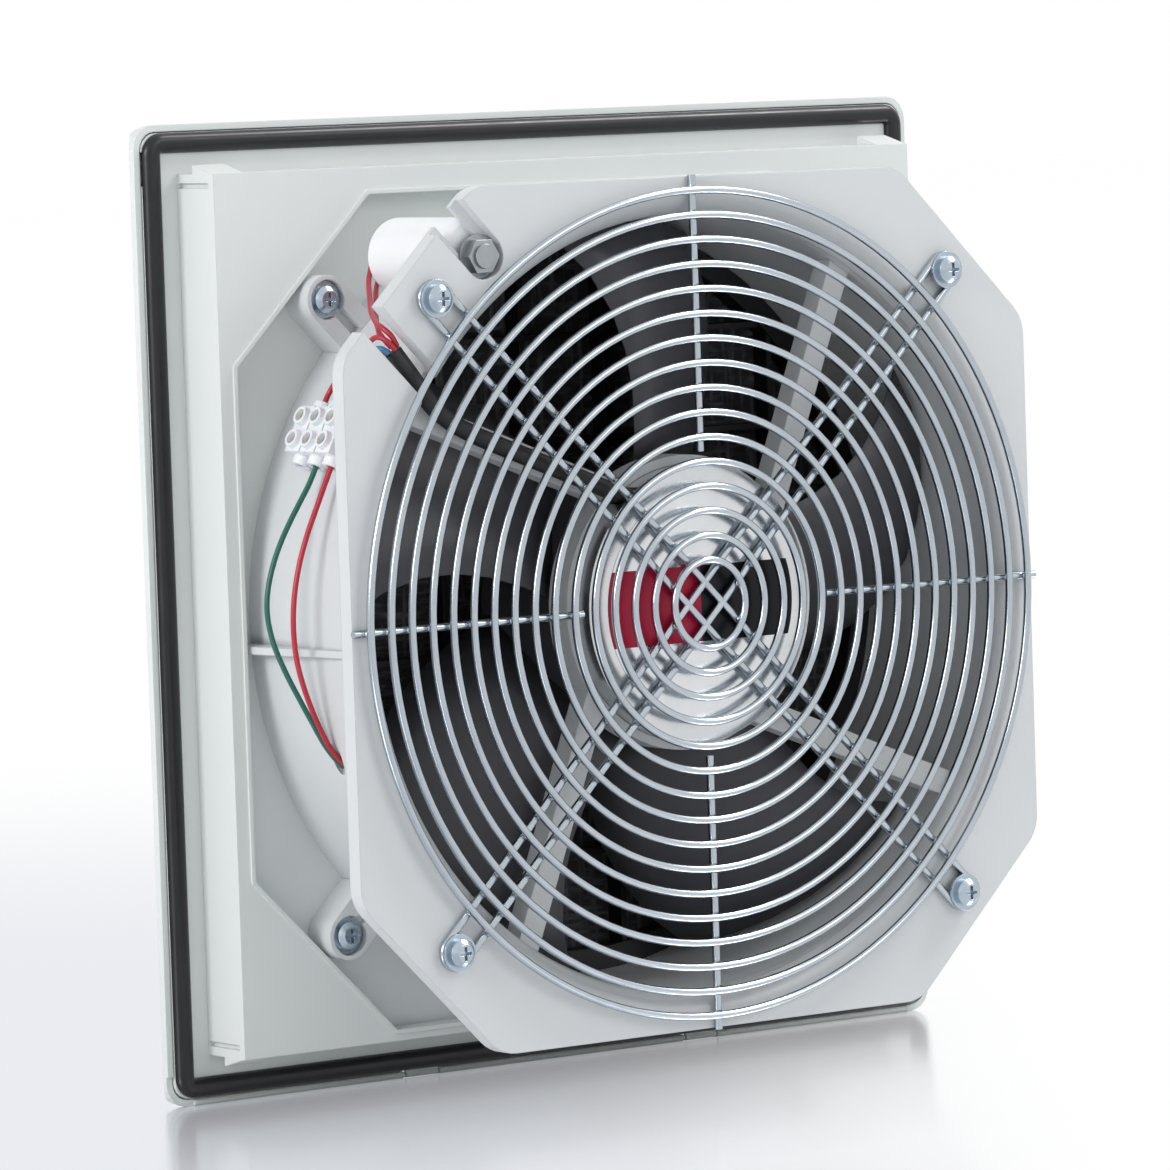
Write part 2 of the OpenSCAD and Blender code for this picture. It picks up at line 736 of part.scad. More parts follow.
// Inlet grid: crossed ribs in a rim that drops into the floor and rests on it
module grid_ribs() {
    intersection() {
        translate([0, 0, rib_bottom])
            cylinder(r = grid_r - sink, h = floor_z - rib_bottom);
        for (i = [1 : rib_count], turn = [0, 90])
            rotate([0, 0, turn])
                translate([i * rib_pitch - grid_r - rib_t / 2, -duct_r, rib_bottom])
                    cube([rib_t, 2 * duct_r, floor_z - rib_bottom]);
    }
}

module inlet_grid() {
    color("#26282b") placed() on_fan_axis() {
        grid_ribs();
        ring_solid(grid_r, grid_r - grid_rim, rib_bottom, floor_z + grid_flange_t);
        ring_solid(duct_r - soft_gap, grid_r - sink, floor_z, floor_z + grid_flange_t);
    }
}

// Gasket: a strip with rounded upper edges and turned corners
module gasket_profile() {
    shoulder = gasket_w / 2 - gasket_edge_r;
    translate([-gasket_w / 2, 0])
        square([gasket_w, gasket_h - gasket_edge_r]);
    translate([-shoulder, 0])
        square([2 * shoulder, gasket_h]);
    for (side = [-shoulder, shoulder])
        translate([side, gasket_h - gasket_edge_r])
            circle(r = gasket_edge_r);
}

module gasket() {
    turn_r = gasket_w / 2 + assembly_gap;
    run = gasket_mid - turn_r;
    color("#3c3f42") placed()
        at_quarters(0) {
            translate([0, gasket_mid, 0])
                along_x(2 * run)
                    gasket_profile();
            translate([run, run, 0])
                rotate_extrude(angle = 90)
                    translate([turn_r, 0])
                        gasket_profile();
        }
}

module filter_mat() {
    color("#4a4c4f") placed()
        slab(mat_back - mat_t, mat_back)
            square_outline(mat_w, corner_r);
}

// Fan housing
module duct_void() {
    rotate_extrude() {
        translate([0, floor_z - cut])
            square([duct_r, fan_top - floor_z + 2 * cut]);
        difference() {
            translate([0, fan_top - bell_r])
                square([duct_r + bell_r, bell_r + cut]);
            translate([duct_r + bell_r, fan_top - bell_r])
                circle(r = bell_r);
        }
    }
}

module foot() {
    translate([duct_r, -foot_r, floor_z])
        cube([foot_out + shroud_t, 2 * foot_r, foot_h]);
    translate([foot_reach, 0, floor_z])
        cylinder(r = foot_r, h = foot_h);
}

module foot_cuts() {
    translate([foot_reach, 0, floor_z - cut])
        cylinder(r = screw_hole_r, h = foot_h + 2 * cut);
    translate([foot_reach, 0, foot_seat])
        cylinder(r = foot_pocket_r, h = foot_pocket_d + cut);
    translate([shroud_r + sink, -foot_groove_w / 2, foot_seat])
        cube([foot_out, foot_groove_w, foot_pocket_d + cut]);
}

module side_fin() {
    fin_in = shroud_r - sink;
    fin_out = shroud_r + fin_reach;
    rotate([90, 0, 0])
        linear_extrude(fin_t, center = true)
            polygon([[fin_in, floor_z], [fin_out, floor_z], [fin_out, foot_top],
                [shroud_r, plate_z], [fin_in, plate_z]]);
}

// Slot from the plate's corner chamfer in to a point, seen along the chamfer's normal
module chamfer_slot(along, reach_in, width, round_end) {
    translate([reach_in, along - width / 2])
        square([plate_chamfer_at - reach_in + cut, width]);
    if (round_end)
        translate([reach_in, along])
            circle(r = width / 2);
}

module plate_slots() {
    rotate([0, 0, 135]) {
        slab(plate_z + stud_floor, fan_top + cut)
            chamfer_slot(-cap_along, cap_out, stud_slot, true);
        slab(plate_z - cut, fan_top + cut)
            chamfer_slot(-cap_along, cap_out, 2 * stud_hole_r, true);
        slab(strut_top, fan_top + cut)
            chamfer_slot(-notch_along, duct_r - bell_r, notch_w, false);
    }
}

module terminal_pad() {
    pad_h = pole_count * pole_pitch;
    rotate([0, 0, block_angle])
        translate([shroud_r - shroud_t + sink, -block_l / 2, block_z - pad_h / 2])
            cube([pad_r - shroud_r + shroud_t - sink, block_l, pad_h]);
}

module fan_plate() {
    color("#d9dcdd") placed() on_fan_axis() difference() {
        union() {
            slab(plate_z, fan_top)
                octagon_outline(plate_w, plate_chamfer_at, plate_corner_r);
            at_corners(guard_pitch)
                translate([0, 0, fan_top - guard_screw_l - cut])
                    cylinder(r = guard_boss_r, h = guard_screw_l - plate_t + cut + sink);
        }
        duct_void();
        at_corners(guard_pitch)
            translate([0, 0, fan_top - guard_screw_l - 2 * cut])
                cylinder(r = screw_hole_r, h = guard_screw_l + 3 * cut);
        plate_slots();
    }
}

module fan_shroud() {
    color("#d9dcdd") placed() on_fan_axis() difference() {
        union() {
            translate([0, 0, floor_z])
                cylinder(r = shroud_r, h = plate_z - floor_z);
            at_quarters(fin_angle)
                side_fin();
            terminal_pad();
        }
        duct_void();
        plate_slots();
        translate(shroud_hole_at)
            rotate([0, 90, shroud_hole_turn])
                cylinder(r = shroud_hole_r, h = 4 * shroud_t, center = true);
    }
}

module fan_feet() {
    color("#d9dcdd") placed() on_fan_axis() difference() {
        at_quarters(45)
            foot();
        at_quarters(45)
            foot_cuts();
        translate([0, 0, floor_z - cut])
            cylinder(r = shroud_r + seam_gap, h = foot_h + 2 * cut);
    }
}

module fan_struts() {
    color("#d9dcdd") placed() on_fan_axis() {
        difference() {
            intersection() {
                at_quarters(strut_turn)
                    translate([strut_in, -strut_offset - strut_w / 2, strut_z])
                        cube([duct_r - strut_in, strut_w, strut_h]);
                translate([0, 0, strut_z - cut])
                    cylinder(r = duct_r - seam_gap, h = strut_h + 2 * cut);
            }
            translate([0, 0, strut_z - cut])
                cylinder(r = hub_r, h = strut_h + 2 * cut);
        }
        ring_solid(hub_r + hub_t, hub_r, hub_z, strut_top);
        ring_solid(hub_r + sink, hub_r - hub_lip, hub_z, motor_z);
    }
}

// Motor
module motor_base() {
    entry_l = motor_wall + 2 * cut;
    entry_w = sleeve_d + 4 * soft_gap;
    color("silver") placed() on_fan_axis() difference() {
        union() {
            ring_solid(motor_r, motor_r - motor_wall, motor_z, motor_top);
            translate([0, 0, motor_top - motor_cap_t])
                cylinder(r = motor_r - sink, h = motor_cap_t);
            translate([0, 0, tube_z])
                cylinder(r = tube_r, h = motor_top - motor_cap_t / 2 - tube_z);
        }
        translate([0, 0, tube_z - cut])
            cylinder(r = bearing_r + assembly_gap / 5, h = motor_top - motor_cap_t - tube_z + cut);
        rotate([0, 0, strut_turn + 90])
            translate([cable_entry - entry_l, -strut_offset - entry_w / 2, strut_top])
                cube([2 * entry_l, entry_w, sleeve_d + 2 * soft_gap]);
    }
}

module motor_label() {
    color("gainsboro") placed() on_fan_axis()
        translate([0, 0, motor_top])
            cylinder(r = label_r, h = label_t);
}

module stator_core() {
    color("dimgray") placed() on_fan_axis() difference() {
        ring_solid(stator_r, tube_r + assembly_gap, stator_z, stator_z + stator_h);
        for (i = [1 : stator_slots])
            rotate([0, 0, 360 * i / stator_slots])
                translate([slot_at, 0, stator_z - cut])
                    cylinder(r = slot_r, h = stator_h + 2 * cut);
    }
}

module stator_windings() {
    rod_r = slot_r - soft_gap;
    low = stator_z - coil_h - assembly_gap;
    high = stator_z + stator_h + assembly_gap;
    color("chocolate") placed() on_fan_axis() {
        for (z = [low, high])
            ring_solid(slot_at + coil_w / 2, slot_at - coil_w / 2, z, z + coil_h);
        for (i = [1 : stator_slots])
            rotate([0, 0, 360 * i / stator_slots])
                translate([slot_at, 0, low + coil_h - sink])
                    cylinder(r = rod_r, h = high - low - coil_h + 2 * sink);
    }
}

module ball_bearings() {
    color("lightgray") placed() on_fan_axis()
        for (z = [low_bearing_z, high_bearing_z])
            ring_solid(bearing_r, bearing_bore_r, z, z + bearing_w);
}

module rotor_cup() {
    color("#26272a") placed() on_fan_axis() difference() {
        union() {
            ring_solid(rotor_r, rotor_in, rotor_z, rotor_top);
            translate([0, 0, rotor_z])
                cylinder(r = rotor_r - sink, h = rotor_t);
            translate([0, 0, rotor_z])
                cylinder(r = rotor_boss_r, h = rotor_t + rotor_boss_h);
        }
        translate([0, 0, rotor_z - cut])
            cylinder(r = shaft_r + assembly_gap / 5, h = rotor_t + rotor_boss_h + 2 * cut);
    }
}

module rotor_ring() {
    color("slategray") placed() on_fan_axis()
        ring_solid(rotor_in - assembly_gap / 5, cage_in, stator_z, stator_z + stator_h);
}

module shaft() {
    color("silver") placed() on_fan_axis()
        translate([0, 0, rotor_z])
            cylinder(r = shaft_r, h = shaft_top - rotor_z);
}

module circlip() {
    gap_angle = 50;
    color("gray") placed() on_fan_axis()
        translate([0, 0, circlip_z])
            rotate_extrude(angle = 360 - gap_angle)
                translate([shaft_r + assembly_gap / 5, 0])
                    square([circlip_w, circlip_t]);
}

// Impeller: cambered sickle blades lofted from sections on cylinders of growing radius
function mix(a, b, share) = a + (b - a) * share;
function blade_half_t(t) = max(blade_edge_share, sqrt(1 - pow(2 * t, 4))) * blade_t / 2;
function blade_point(r, share, t, side) =
    let (chord = mix(root_chord, tip_chord, share), pitch = mix(root_angle, tip_angle, share),
        run = t * chord, rise = blade_camber_share * chord * (1 - 4 * t * t) + side * blade_half_t(t),
        arc = run * cos(pitch) - rise * sin(pitch),
        turn = tip_sweep_angle * share * share + arc / r * 180 / PI)
    [r * cos(turn), r * sin(turn), blade_z + run * sin(pitch) + rise * cos(pitch)];
function blade_loop(r, share) = concat(
    [for (i = [0 : blade_steps]) blade_point(r, share, i / blade_steps - 1 / 2, 1)],
    [for (i = [blade_steps : -1 : 0]) blade_point(r, share, i / blade_steps - 1 / 2, -1)]);

// Faces of a stack of equal loops, closed at both ends
function loft_faces(loops, n) = concat(
    [for (i = [0 : n / 2 - 2]) each [[i, i + 1, n - 2 - i], [i, n - 2 - i, n - 1 - i]]],
    [for (i = [0 : n / 2 - 2]) let (o = (loops - 1) * n)
        each [[o + i, o + n - 2 - i, o + i + 1], [o + i, o + n - 1 - i, o + n - 2 - i]]],
    [for (j = [0 : loops - 2], i = [0 : n - 1]) let (a = j * n + i, b = j * n + (i + 1) % n)
        each [[a, a + n, b], [b, a + n, b + n]]]);

module impeller_blades() {
    loop_points = 2 * (blade_steps + 1);
    root_r = rotor_r - blade_root_sink;
    color("#1d1e21") placed() on_fan_axis()
        for (i = [1 : blade_count])
            rotate([0, 0, 360 * i / blade_count])
                polyhedron(
                    points = [for (k = [0 : blade_sections - 1]) let (share = k / (blade_sections - 1))
                        each blade_loop(mix(root_r, tip_r, share), share)],
                    faces = loft_faces(blade_sections, loop_points));
}

// Wire guard
module guard_rings() {
    color("gainsboro") placed() on_fan_axis()
        for (i = [0 : ring_count - 1])
            translate([0, 0, ring_z])
                rotate_extrude()
                    translate([ring_r_min + i * ring_step, 0])
                        circle(r = wire_r, $fn = 24);
}

module hairpin() {
    for (side = [-1, 1]) {
        translate([0, side * hairpin_gap / 2, 0])
            rotate([0, 90, 0])
                cylinder(r = wire_r, h = 2 * guard_reach, center = true);
        translate([side * guard_reach, 0, 0])
            rotate([0, 0, -90 * side])
                rotate_extrude(angle = 180)
                    translate([hairpin_gap / 2, 0])
                        circle(r = wire_r, $fn = 24);
    }
}

module guard_spokes() {
    color("gainsboro") placed() on_fan_axis() translate([0, 0, spoke_z]) {
        for (turn = [45, 135])
            rotate([0, 0, turn])
                hairpin();
        at_quarters(0)
            translate([radial_r_in, 0, 0])
                rotate([0, 90, 0])
                    cylinder(r = wire_r, h = radial_r_out - radial_r_in);
    }
}

// Screws and washers
module pan_screw(shank) {
    dome_r = (head_r * head_r + head_h * head_h) / (2 * head_h);
    difference() {
        union() {
            translate([0, 0, -shank])
                cylinder(r = screw_r, h = shank + sink);
            rotate_extrude()
                intersection() {
                    square([head_r, head_h]);
                    translate([0, head_h - dome_r])
                        circle(r = dome_r + head_h / 4);
                }
        }
        for (turn = [0, 90])
            rotate([0, 0, turn])
                translate([0, 0, head_h])
                    cube([head_r, cross_w, 2 * cross_d], center = true);
    }
}

module guard_screws() {
    color("lightsteelblue") placed() on_fan_axis()
        at_corners(guard_pitch)
            translate([0, 0, washer_z + washer_t])
                pan_screw(guard_screw_l + washer_z + washer_t - fan_top);
}

module guard_washers() {
    color("lightsteelblue") placed() on_fan_axis()
        at_corners(guard_pitch)
            ring_solid(washer_r, washer_hole_r, washer_z, washer_z + washer_t);
}

module foot_screws() {
    color("lightsteelblue") placed() on_fan_axis()
        at_corners(foot_pitch)
            translate([0, 0, foot_seat + washer_t])
                pan_screw(foot_seat + washer_t - rib_bottom - soft_gap);
}

module foot_washers() {
    color("lightsteelblue") placed() on_fan_axis()
        at_corners(foot_pitch)
            ring_solid(washer_r, washer_hole_r, foot_seat, foot_seat + washer_t);
}

// Capacitor
module at_capacitor() {
    placed()
        on_fan_axis()
            translate([cap_x, cap_y, 0])
                children();
}

module capacitor() {
    color("white") at_capacitor()
        rotate_extrude() {
            translate([0, cap_z])
                square([cap_r - can_edge_r, cap_l]);
            translate([0, cap_z + can_edge_r])
                square([cap_r, cap_l - 2 * can_edge_r]);
            for (z = [cap_z + can_edge_r, plate_z - can_edge_r])
                translate([cap_r - can_edge_r, z])
                    circle(r = can_edge_r);
        }
}

module capacitor_stud() {
    color("silver") at_capacitor()
        translate([0, 0, plate_z])
            cylinder(r = stud_r, h = stud_top - plate_z);
}

module capacitor_nut() {
    low = plate_z + stud_floor + stud_washer_t;
    color("silver") at_capacitor() difference() {
        translate([0, 0, low])
            cylinder(r = nut_r, h = nut_h, $fn = 6);
        translate([0, 0, low - cut])
            cylinder(r = stud_r + assembly_gap / 5, h = nut_h + 2 * cut);
    }
}

module capacitor_washer() {
    low = plate_z + stud_floor;
    color("silver") at_capacitor()
        ring_solid(stud_washer_r, stud_r + assembly_gap, low, low + stud_washer_t);
}

// Terminal block, drawn with x away from the shroud and y along its wires
module at_poles() {
    placed() on_fan_axis()
        rotate([0, 0, block_angle])
            for (i = [0 : pole_count - 1])
                translate([0, 0, block_z + (i - (pole_count - 1) / 2) * pole_pitch])
                    children();
}

module terminal_pole() {
    translate([block_seat, -block_l / 2, -pole_w / 2])
        cube([block_h, block_l, pole_w]);
    translate([block_seat, -block_l / 4, -pole_pitch / 2])
        cube([block_web, block_l / 2, pole_pitch]);
    translate([collar_at, 0, 0])
        rotate([90, 0, 0])
            cylinder(r = collar_r, h = block_l + 2 * collar_l, center = true);
    for (side = [-1, 1])
        translate([block_seat + block_h - sink, side * turret_y, 0])
            rotate([0, 90, 0])
                cylinder(r = turret_r, h = turret_h + sink);
}

module terminal_block() {
    color("#f4f5f6") difference() {
        at_poles()
            terminal_pole();
        at_poles() {
            translate([collar_at, 0, 0])
                rotate([90, 0, 0])
                    cylinder(r = wire_hole_r, h = block_l + 2 * collar_l + 2 * cut, center = true);
            for (side = [-1, 1])
                translate([block_seat + block_h - turret_h, side * turret_y, 0])
                    rotate([0, 90, 0])
                        cylinder(r = block_screw_r + assembly_gap, h = 2 * turret_h + cut);
        }
    }
}

module terminal_screws() {
    color("goldenrod") at_poles()
        for (side = [-1, 1])
            translate([block_seat + block_h - turret_h, side * turret_y, 0])
                difference() {
                    rotate([0, 90, 0])
                        cylinder(r = block_screw_r, h = turret_h);
                    translate([turret_h, 0, 0])
                        cube([cross_w, 2 * block_screw_r + cut, cross_w], center = true);
                }
}

// Cable, leads and wires: tubes swept along smoothed routes
function smooth_at(p, i, t) =
    let (a = p[max(i - 1, 0)], b = p[i], c = p[i + 1], d = p[min(i + 2, len(p) - 1)])
    (2 * b + (c - a) * t + (2 * a - 5 * b + 4 * c - d) * t * t + (3 * b - a - 3 * c + d) * t * t * t) / 2;
function smooth_route(p) = concat(
    [for (i = [0 : len(p) - 2], k = [0 : route_steps - 1]) smooth_at(p, i, k / route_steps)],
    [p[len(p) - 1]]);
function heading(p, i) = unit(p[min(i + 1, len(p) - 1)] - p[max(i - 1, 0)]);
function turned(a, t) = unit(a - (a * t) * t);
// Cross direction carried along the route, so that the tube doesn't twist
function carried(p, i, a) = i == 0 ? turned(a, heading(p, 0)) : turned(carried(p, i - 1, a), heading(p, i));

module swept(route, d, sides) {
    path = smooth_route(route);
    polyhedron(
        points = [for (i = [0 : len(path) - 1])
            let (t = heading(path, i), a = carried(path, i, [1, 1, 1]), b = cross(t, a))
            for (k = [0 : sides - 1])
                path[i] + d / 2 * (cos(360 * k / sides) * a + sin(360 * k / sides) * b)],
        faces = [for (face = loft_faces(len(path), sides)) [face[0], face[2], face[1]]]);
}

module lead(route) {
    placed()
        on_fan_axis()
            swept(route, lead_d, lead_sides);
}

module motor_cable() {
    color("#1c1c1e") placed() on_fan_axis()
        swept(cable_route, sleeve_d, sleeve_sides);
}

module motor_lead_red() {
    color("crimson")
        lead(red_lead_route);
}

module motor_lead_blue() {
    color("steelblue")
        lead(blue_lead_route);
}

module motor_lead_brown() {
    color("sienna")
        lead(brown_lead_route);
}

module capacitor_lead_a() {
    color("crimson")
        lead(capacitor_a_route);
}

module capacitor_lead_b() {
    color("crimson")
        lead(capacitor_b_route);
}

module green_wire() {
    color("seagreen")
        lead(green_route);
}

module red_wire() {
    color("indianred")
        lead(red_route);
}

front_cover();
cover_louvres();
hinge_pins();
base_frame();
inlet_grid();
gasket();
filter_mat();
fan_plate();
fan_shroud();
fan_feet();
fan_struts();
motor_base();
motor_label();
stator_core();
stator_windings();
ball_bearings();
rotor_cup();
rotor_ring();
shaft();
circlip();
impeller_blades();
guard_rings();
guard_spokes();
guard_screws();
guard_washers();
foot_screws();
foot_washers();
capacitor();
capacitor_stud();
capacitor_nut();
capacitor_washer();
terminal_block();
terminal_screws();
motor_cable();
motor_lead_red();
motor_lead_blue();
motor_lead_brown();
capacitor_lead_a();
capacitor_lead_b();
green_wire();
red_wire();
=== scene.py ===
"""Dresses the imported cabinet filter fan: finishes, loose wiring, soft parts, guard welds and the studio."""

import logging
import math
from dataclasses import dataclass, field, replace
from enum import Enum, IntEnum

import bmesh
import bpy
from mathutils import Matrix, Vector, noise


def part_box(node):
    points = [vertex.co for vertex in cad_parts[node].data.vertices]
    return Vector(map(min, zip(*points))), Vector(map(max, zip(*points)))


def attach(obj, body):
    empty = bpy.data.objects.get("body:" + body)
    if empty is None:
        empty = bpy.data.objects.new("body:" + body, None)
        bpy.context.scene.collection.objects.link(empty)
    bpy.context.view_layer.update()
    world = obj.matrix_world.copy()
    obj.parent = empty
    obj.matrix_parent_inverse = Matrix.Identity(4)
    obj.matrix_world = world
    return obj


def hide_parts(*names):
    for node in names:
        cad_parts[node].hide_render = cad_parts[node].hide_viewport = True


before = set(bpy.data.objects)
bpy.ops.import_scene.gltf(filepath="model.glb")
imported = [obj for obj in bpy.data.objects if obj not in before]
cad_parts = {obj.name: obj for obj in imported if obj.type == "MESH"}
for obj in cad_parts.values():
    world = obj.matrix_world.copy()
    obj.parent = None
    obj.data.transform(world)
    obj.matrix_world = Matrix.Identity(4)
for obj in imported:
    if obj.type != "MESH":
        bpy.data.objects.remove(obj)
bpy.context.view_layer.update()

LOG = logging.getLogger("filter_fan")
MM = 0.001
# How far the fan's axis lies below the middle of the cover.
FAN_DROP_MM = 2.5
WHITE = "#ffffff"


class Stiffness(str, Enum):
    """How readily a wire bends."""

    LIMP = "limp"
    MEDIUM = "medium"


class Body(str, Enum):
    """The bodies that the pieces made here ride on."""

    FRAME = "frame"
    IMPELLER = "impeller"


class ColourMix(IntEnum):
    """Sockets of a Mix node for colours, by index, because its sockets for numbers have the same names."""

    SHARE = 0
    FIRST = 6
    SECOND = 7
    RESULT = 2


def from_fan(x: float, y: float, z: float) -> Vector:
    """Turns a place measured from the fan's axis, in millimetres, into the row frame.

    Args:
        x: To the right, seen from the fan side.
        y: Up from the fan's axis.
        z: Away from the panel face, towards the fan side.

    Returns:
        The same place in metres.
    """
    return Vector((-x, z, y - FAN_DROP_MM)) * MM


def srgb(code: str) -> tuple[float, float, float, float]:
    """Turns an sRGB hex colour into linear RGBA.

    Args:
        code: Six hex digits after a hash sign.

    Returns:
        Red, green, blue and alpha.
    """
    parts = [int(code[i:i + 2], 16) / 255 for i in (1, 3, 5)]
    linear = [c / 12.92 if c <= 0.04045 else ((c + 0.055) / 1.055) ** 2.4 for c in parts]
    return (*linear, 1.0)


def per_mm(size: float) -> float:
    """Gives the texture scale, per metre, whose features are about this many millimetres across."""
    return 1 / (size * MM)


def add_node(tree: bpy.types.NodeTree, kind: str, inputs: dict | None = None, **settings: object) -> bpy.types.Node:
    """Adds a node with its settings, input values and links.

    Args:
        tree: The node tree that gets the node.
        kind: Blender's name for the node's type.
        inputs: Socket name or index, with a value or an output socket to link.
        **settings: Properties of the node.

    Returns:
        The new node.
    """
    made = tree.nodes.new(kind)
    for name, value in settings.items():
        setattr(made, name, value)
    for socket, value in (inputs or {}).items():
        if isinstance(value, bpy.types.NodeSocket):
            tree.links.new(value, made.inputs[socket])
        else:
            made.inputs[socket].default_value = value
    return made


@dataclass(frozen=True)
class Finish:
    """A surface: its colours, gloss and the size of its texture.

    The colour drifts between two close tones over patches, and a fine grain lifts the surface.
    """

    name: str
    colour: str
    drift: str
    roughness: float
    roughness_spread: float = 0.06
    metallic: float = 0.0
    ior: float = 1.5
    patch_mm: float = 45.0
    grain_mm: float = 1.0
    grain_depth_mm: float = 0.02
    grain_detail: float = 2.0
    edge_mm: float = 0.0
    stretch: tuple[float, float, float] = (1.0, 1.0, 1.0)
    sheen: float = 0.0
    subsurface: float = 0.0
    scatter_mm: float = 2.0
    patch_detail: float = 3.0
    noise_span: tuple[float, float] = (0.3, 0.7)
    grain_strength: float = 0.6
    edge_samples: int = 4

    def material(self) -> bpy.types.Material:
        """Makes the material on the first call and finds it again on later ones.

        Returns:
            The material.
        """
        found = bpy.data.materials.get(self.name)
        if found:
            return found
        made = bpy.data.materials.new(self.name)
        made.use_nodes = True
        tree = made.node_tree
        shader = tree.nodes["Principled BSDF"]
        shader.inputs["Metallic"].default_value = self.metallic
        if not self.metallic:
            shader.inputs["IOR"].default_value = self.ior
        shader.inputs["Sheen Weight"].default_value = self.sheen
        shader.inputs["Subsurface Weight"].default_value = self.subsurface
        shader.inputs["Subsurface Scale"].default_value = self.scatter_mm * MM
        self.dress(tree, shader)
        return made

    def dress(self, tree: bpy.types.NodeTree, shader: bpy.types.Node) -> None:
        """Links colour, roughness and bump to the shader.

        Args:
            tree: The material's node tree.
            shader: Its Principled node.
        """
        place = add_node(tree, "ShaderNodeTexCoord").outputs["Object"]
        patch = add_node(
            tree, "ShaderNodeTexNoise",
            {"Vector": place, "Scale": per_mm(self.patch_mm), "Detail": self.patch_detail}).outputs["Fac"]
        tone = add_node(
            tree, "ShaderNodeMix",
            {ColourMix.SHARE: patch, ColourMix.FIRST: srgb(self.colour), ColourMix.SECOND: srgb(self.drift)},
            data_type="RGBA")
        low, high = self.noise_span
        gloss = add_node(
            tree, "ShaderNodeMapRange",
            {"Value": patch, "From Min": low, "From Max": high,
             "To Min": self.roughness - self.roughness_spread, "To Max": self.roughness + self.roughness_spread})
        drawn = add_node(tree, "ShaderNodeMapping", {"Vector": place, "Scale": self.stretch})
        grain = add_node(
            tree, "ShaderNodeTexNoise",
            {"Vector": drawn.outputs["Vector"], "Scale": per_mm(self.grain_mm), "Detail": self.grain_detail})
        bump = add_node(
            tree, "ShaderNodeBump",
            {"Strength": self.grain_strength, "Distance": self.grain_depth_mm * MM, "Height": grain.outputs["Fac"]})
        if self.edge_mm:
            edge = add_node(tree, "ShaderNodeBevel", {"Radius": self.edge_mm * MM}, samples=self.edge_samples)
            tree.links.new(edge.outputs["Normal"], bump.inputs["Normal"])
        tree.links.new(tone.outputs[ColourMix.RESULT], shader.inputs["Base Color"])
        tree.links.new(gloss.outputs["Result"], shader.inputs["Roughness"])
        tree.links.new(bump.outputs["Normal"], shader.inputs["Normal"])


@dataclass(frozen=True)
class LabelFoil(Finish):
    """Bright foil disc with a plain printed band in two colours across its middle."""

    band_mm: float = 25.0
    left_ink: str = "#a51c3b"
    right_ink: str = "#14161d"
    ink_roughness: float = 0.32
    ink_gloss: float = 0.2

    def dress(self, tree: bpy.types.NodeTree, shader: bpy.types.Node) -> None:
        """Prints the band over the foil.

        Args:
            tree: The material's node tree.
            shader: Its Principled node.
        """
        super().dress(tree, shader)
        shader.inputs["Specular IOR Level"].default_value = self.ink_gloss
        foil = shader.inputs["Base Color"].links[0].from_socket
        place = add_node(tree, "ShaderNodeTexCoord").outputs["Object"]
        axes = add_node(tree, "ShaderNodeSeparateXYZ", {0: place}).outputs
        height = add_node(tree, "ShaderNodeMath", {0: axes["Z"], 1: FAN_DROP_MM * MM}, operation="ADD").outputs[0]
        off = add_node(tree, "ShaderNodeMath", {0: height}, operation="ABSOLUTE").outputs[0]
        band = add_node(tree, "ShaderNodeMath", {0: off, 1: self.band_mm / 2 * MM}, operation="LESS_THAN").outputs[0]
        left = add_node(tree, "ShaderNodeMath", {0: axes["X"], 1: 0.0}, operation="GREATER_THAN").outputs[0]
        ink = add_node(
            tree, "ShaderNodeMix",
            {ColourMix.SHARE: left, ColourMix.FIRST: srgb(self.right_ink), ColourMix.SECOND: srgb(self.left_ink)},
            data_type="RGBA").outputs[ColourMix.RESULT]
        face = add_node(
            tree, "ShaderNodeMix", {ColourMix.SHARE: band, ColourMix.FIRST: foil, ColourMix.SECOND: ink},
            data_type="RGBA")
        metal = add_node(tree, "ShaderNodeMath", {0: 1.0, 1: band}, operation="SUBTRACT")
        gloss = add_node(
            tree, "ShaderNodeMapRange", {"Value": band, "To Min": self.roughness, "To Max": self.ink_roughness})
        tree.links.new(face.outputs[ColourMix.RESULT], shader.inputs["Base Color"])
        tree.links.new(metal.outputs[0], shader.inputs["Metallic"])
        tree.links.new(gloss.outputs["Result"], shader.inputs["Roughness"])


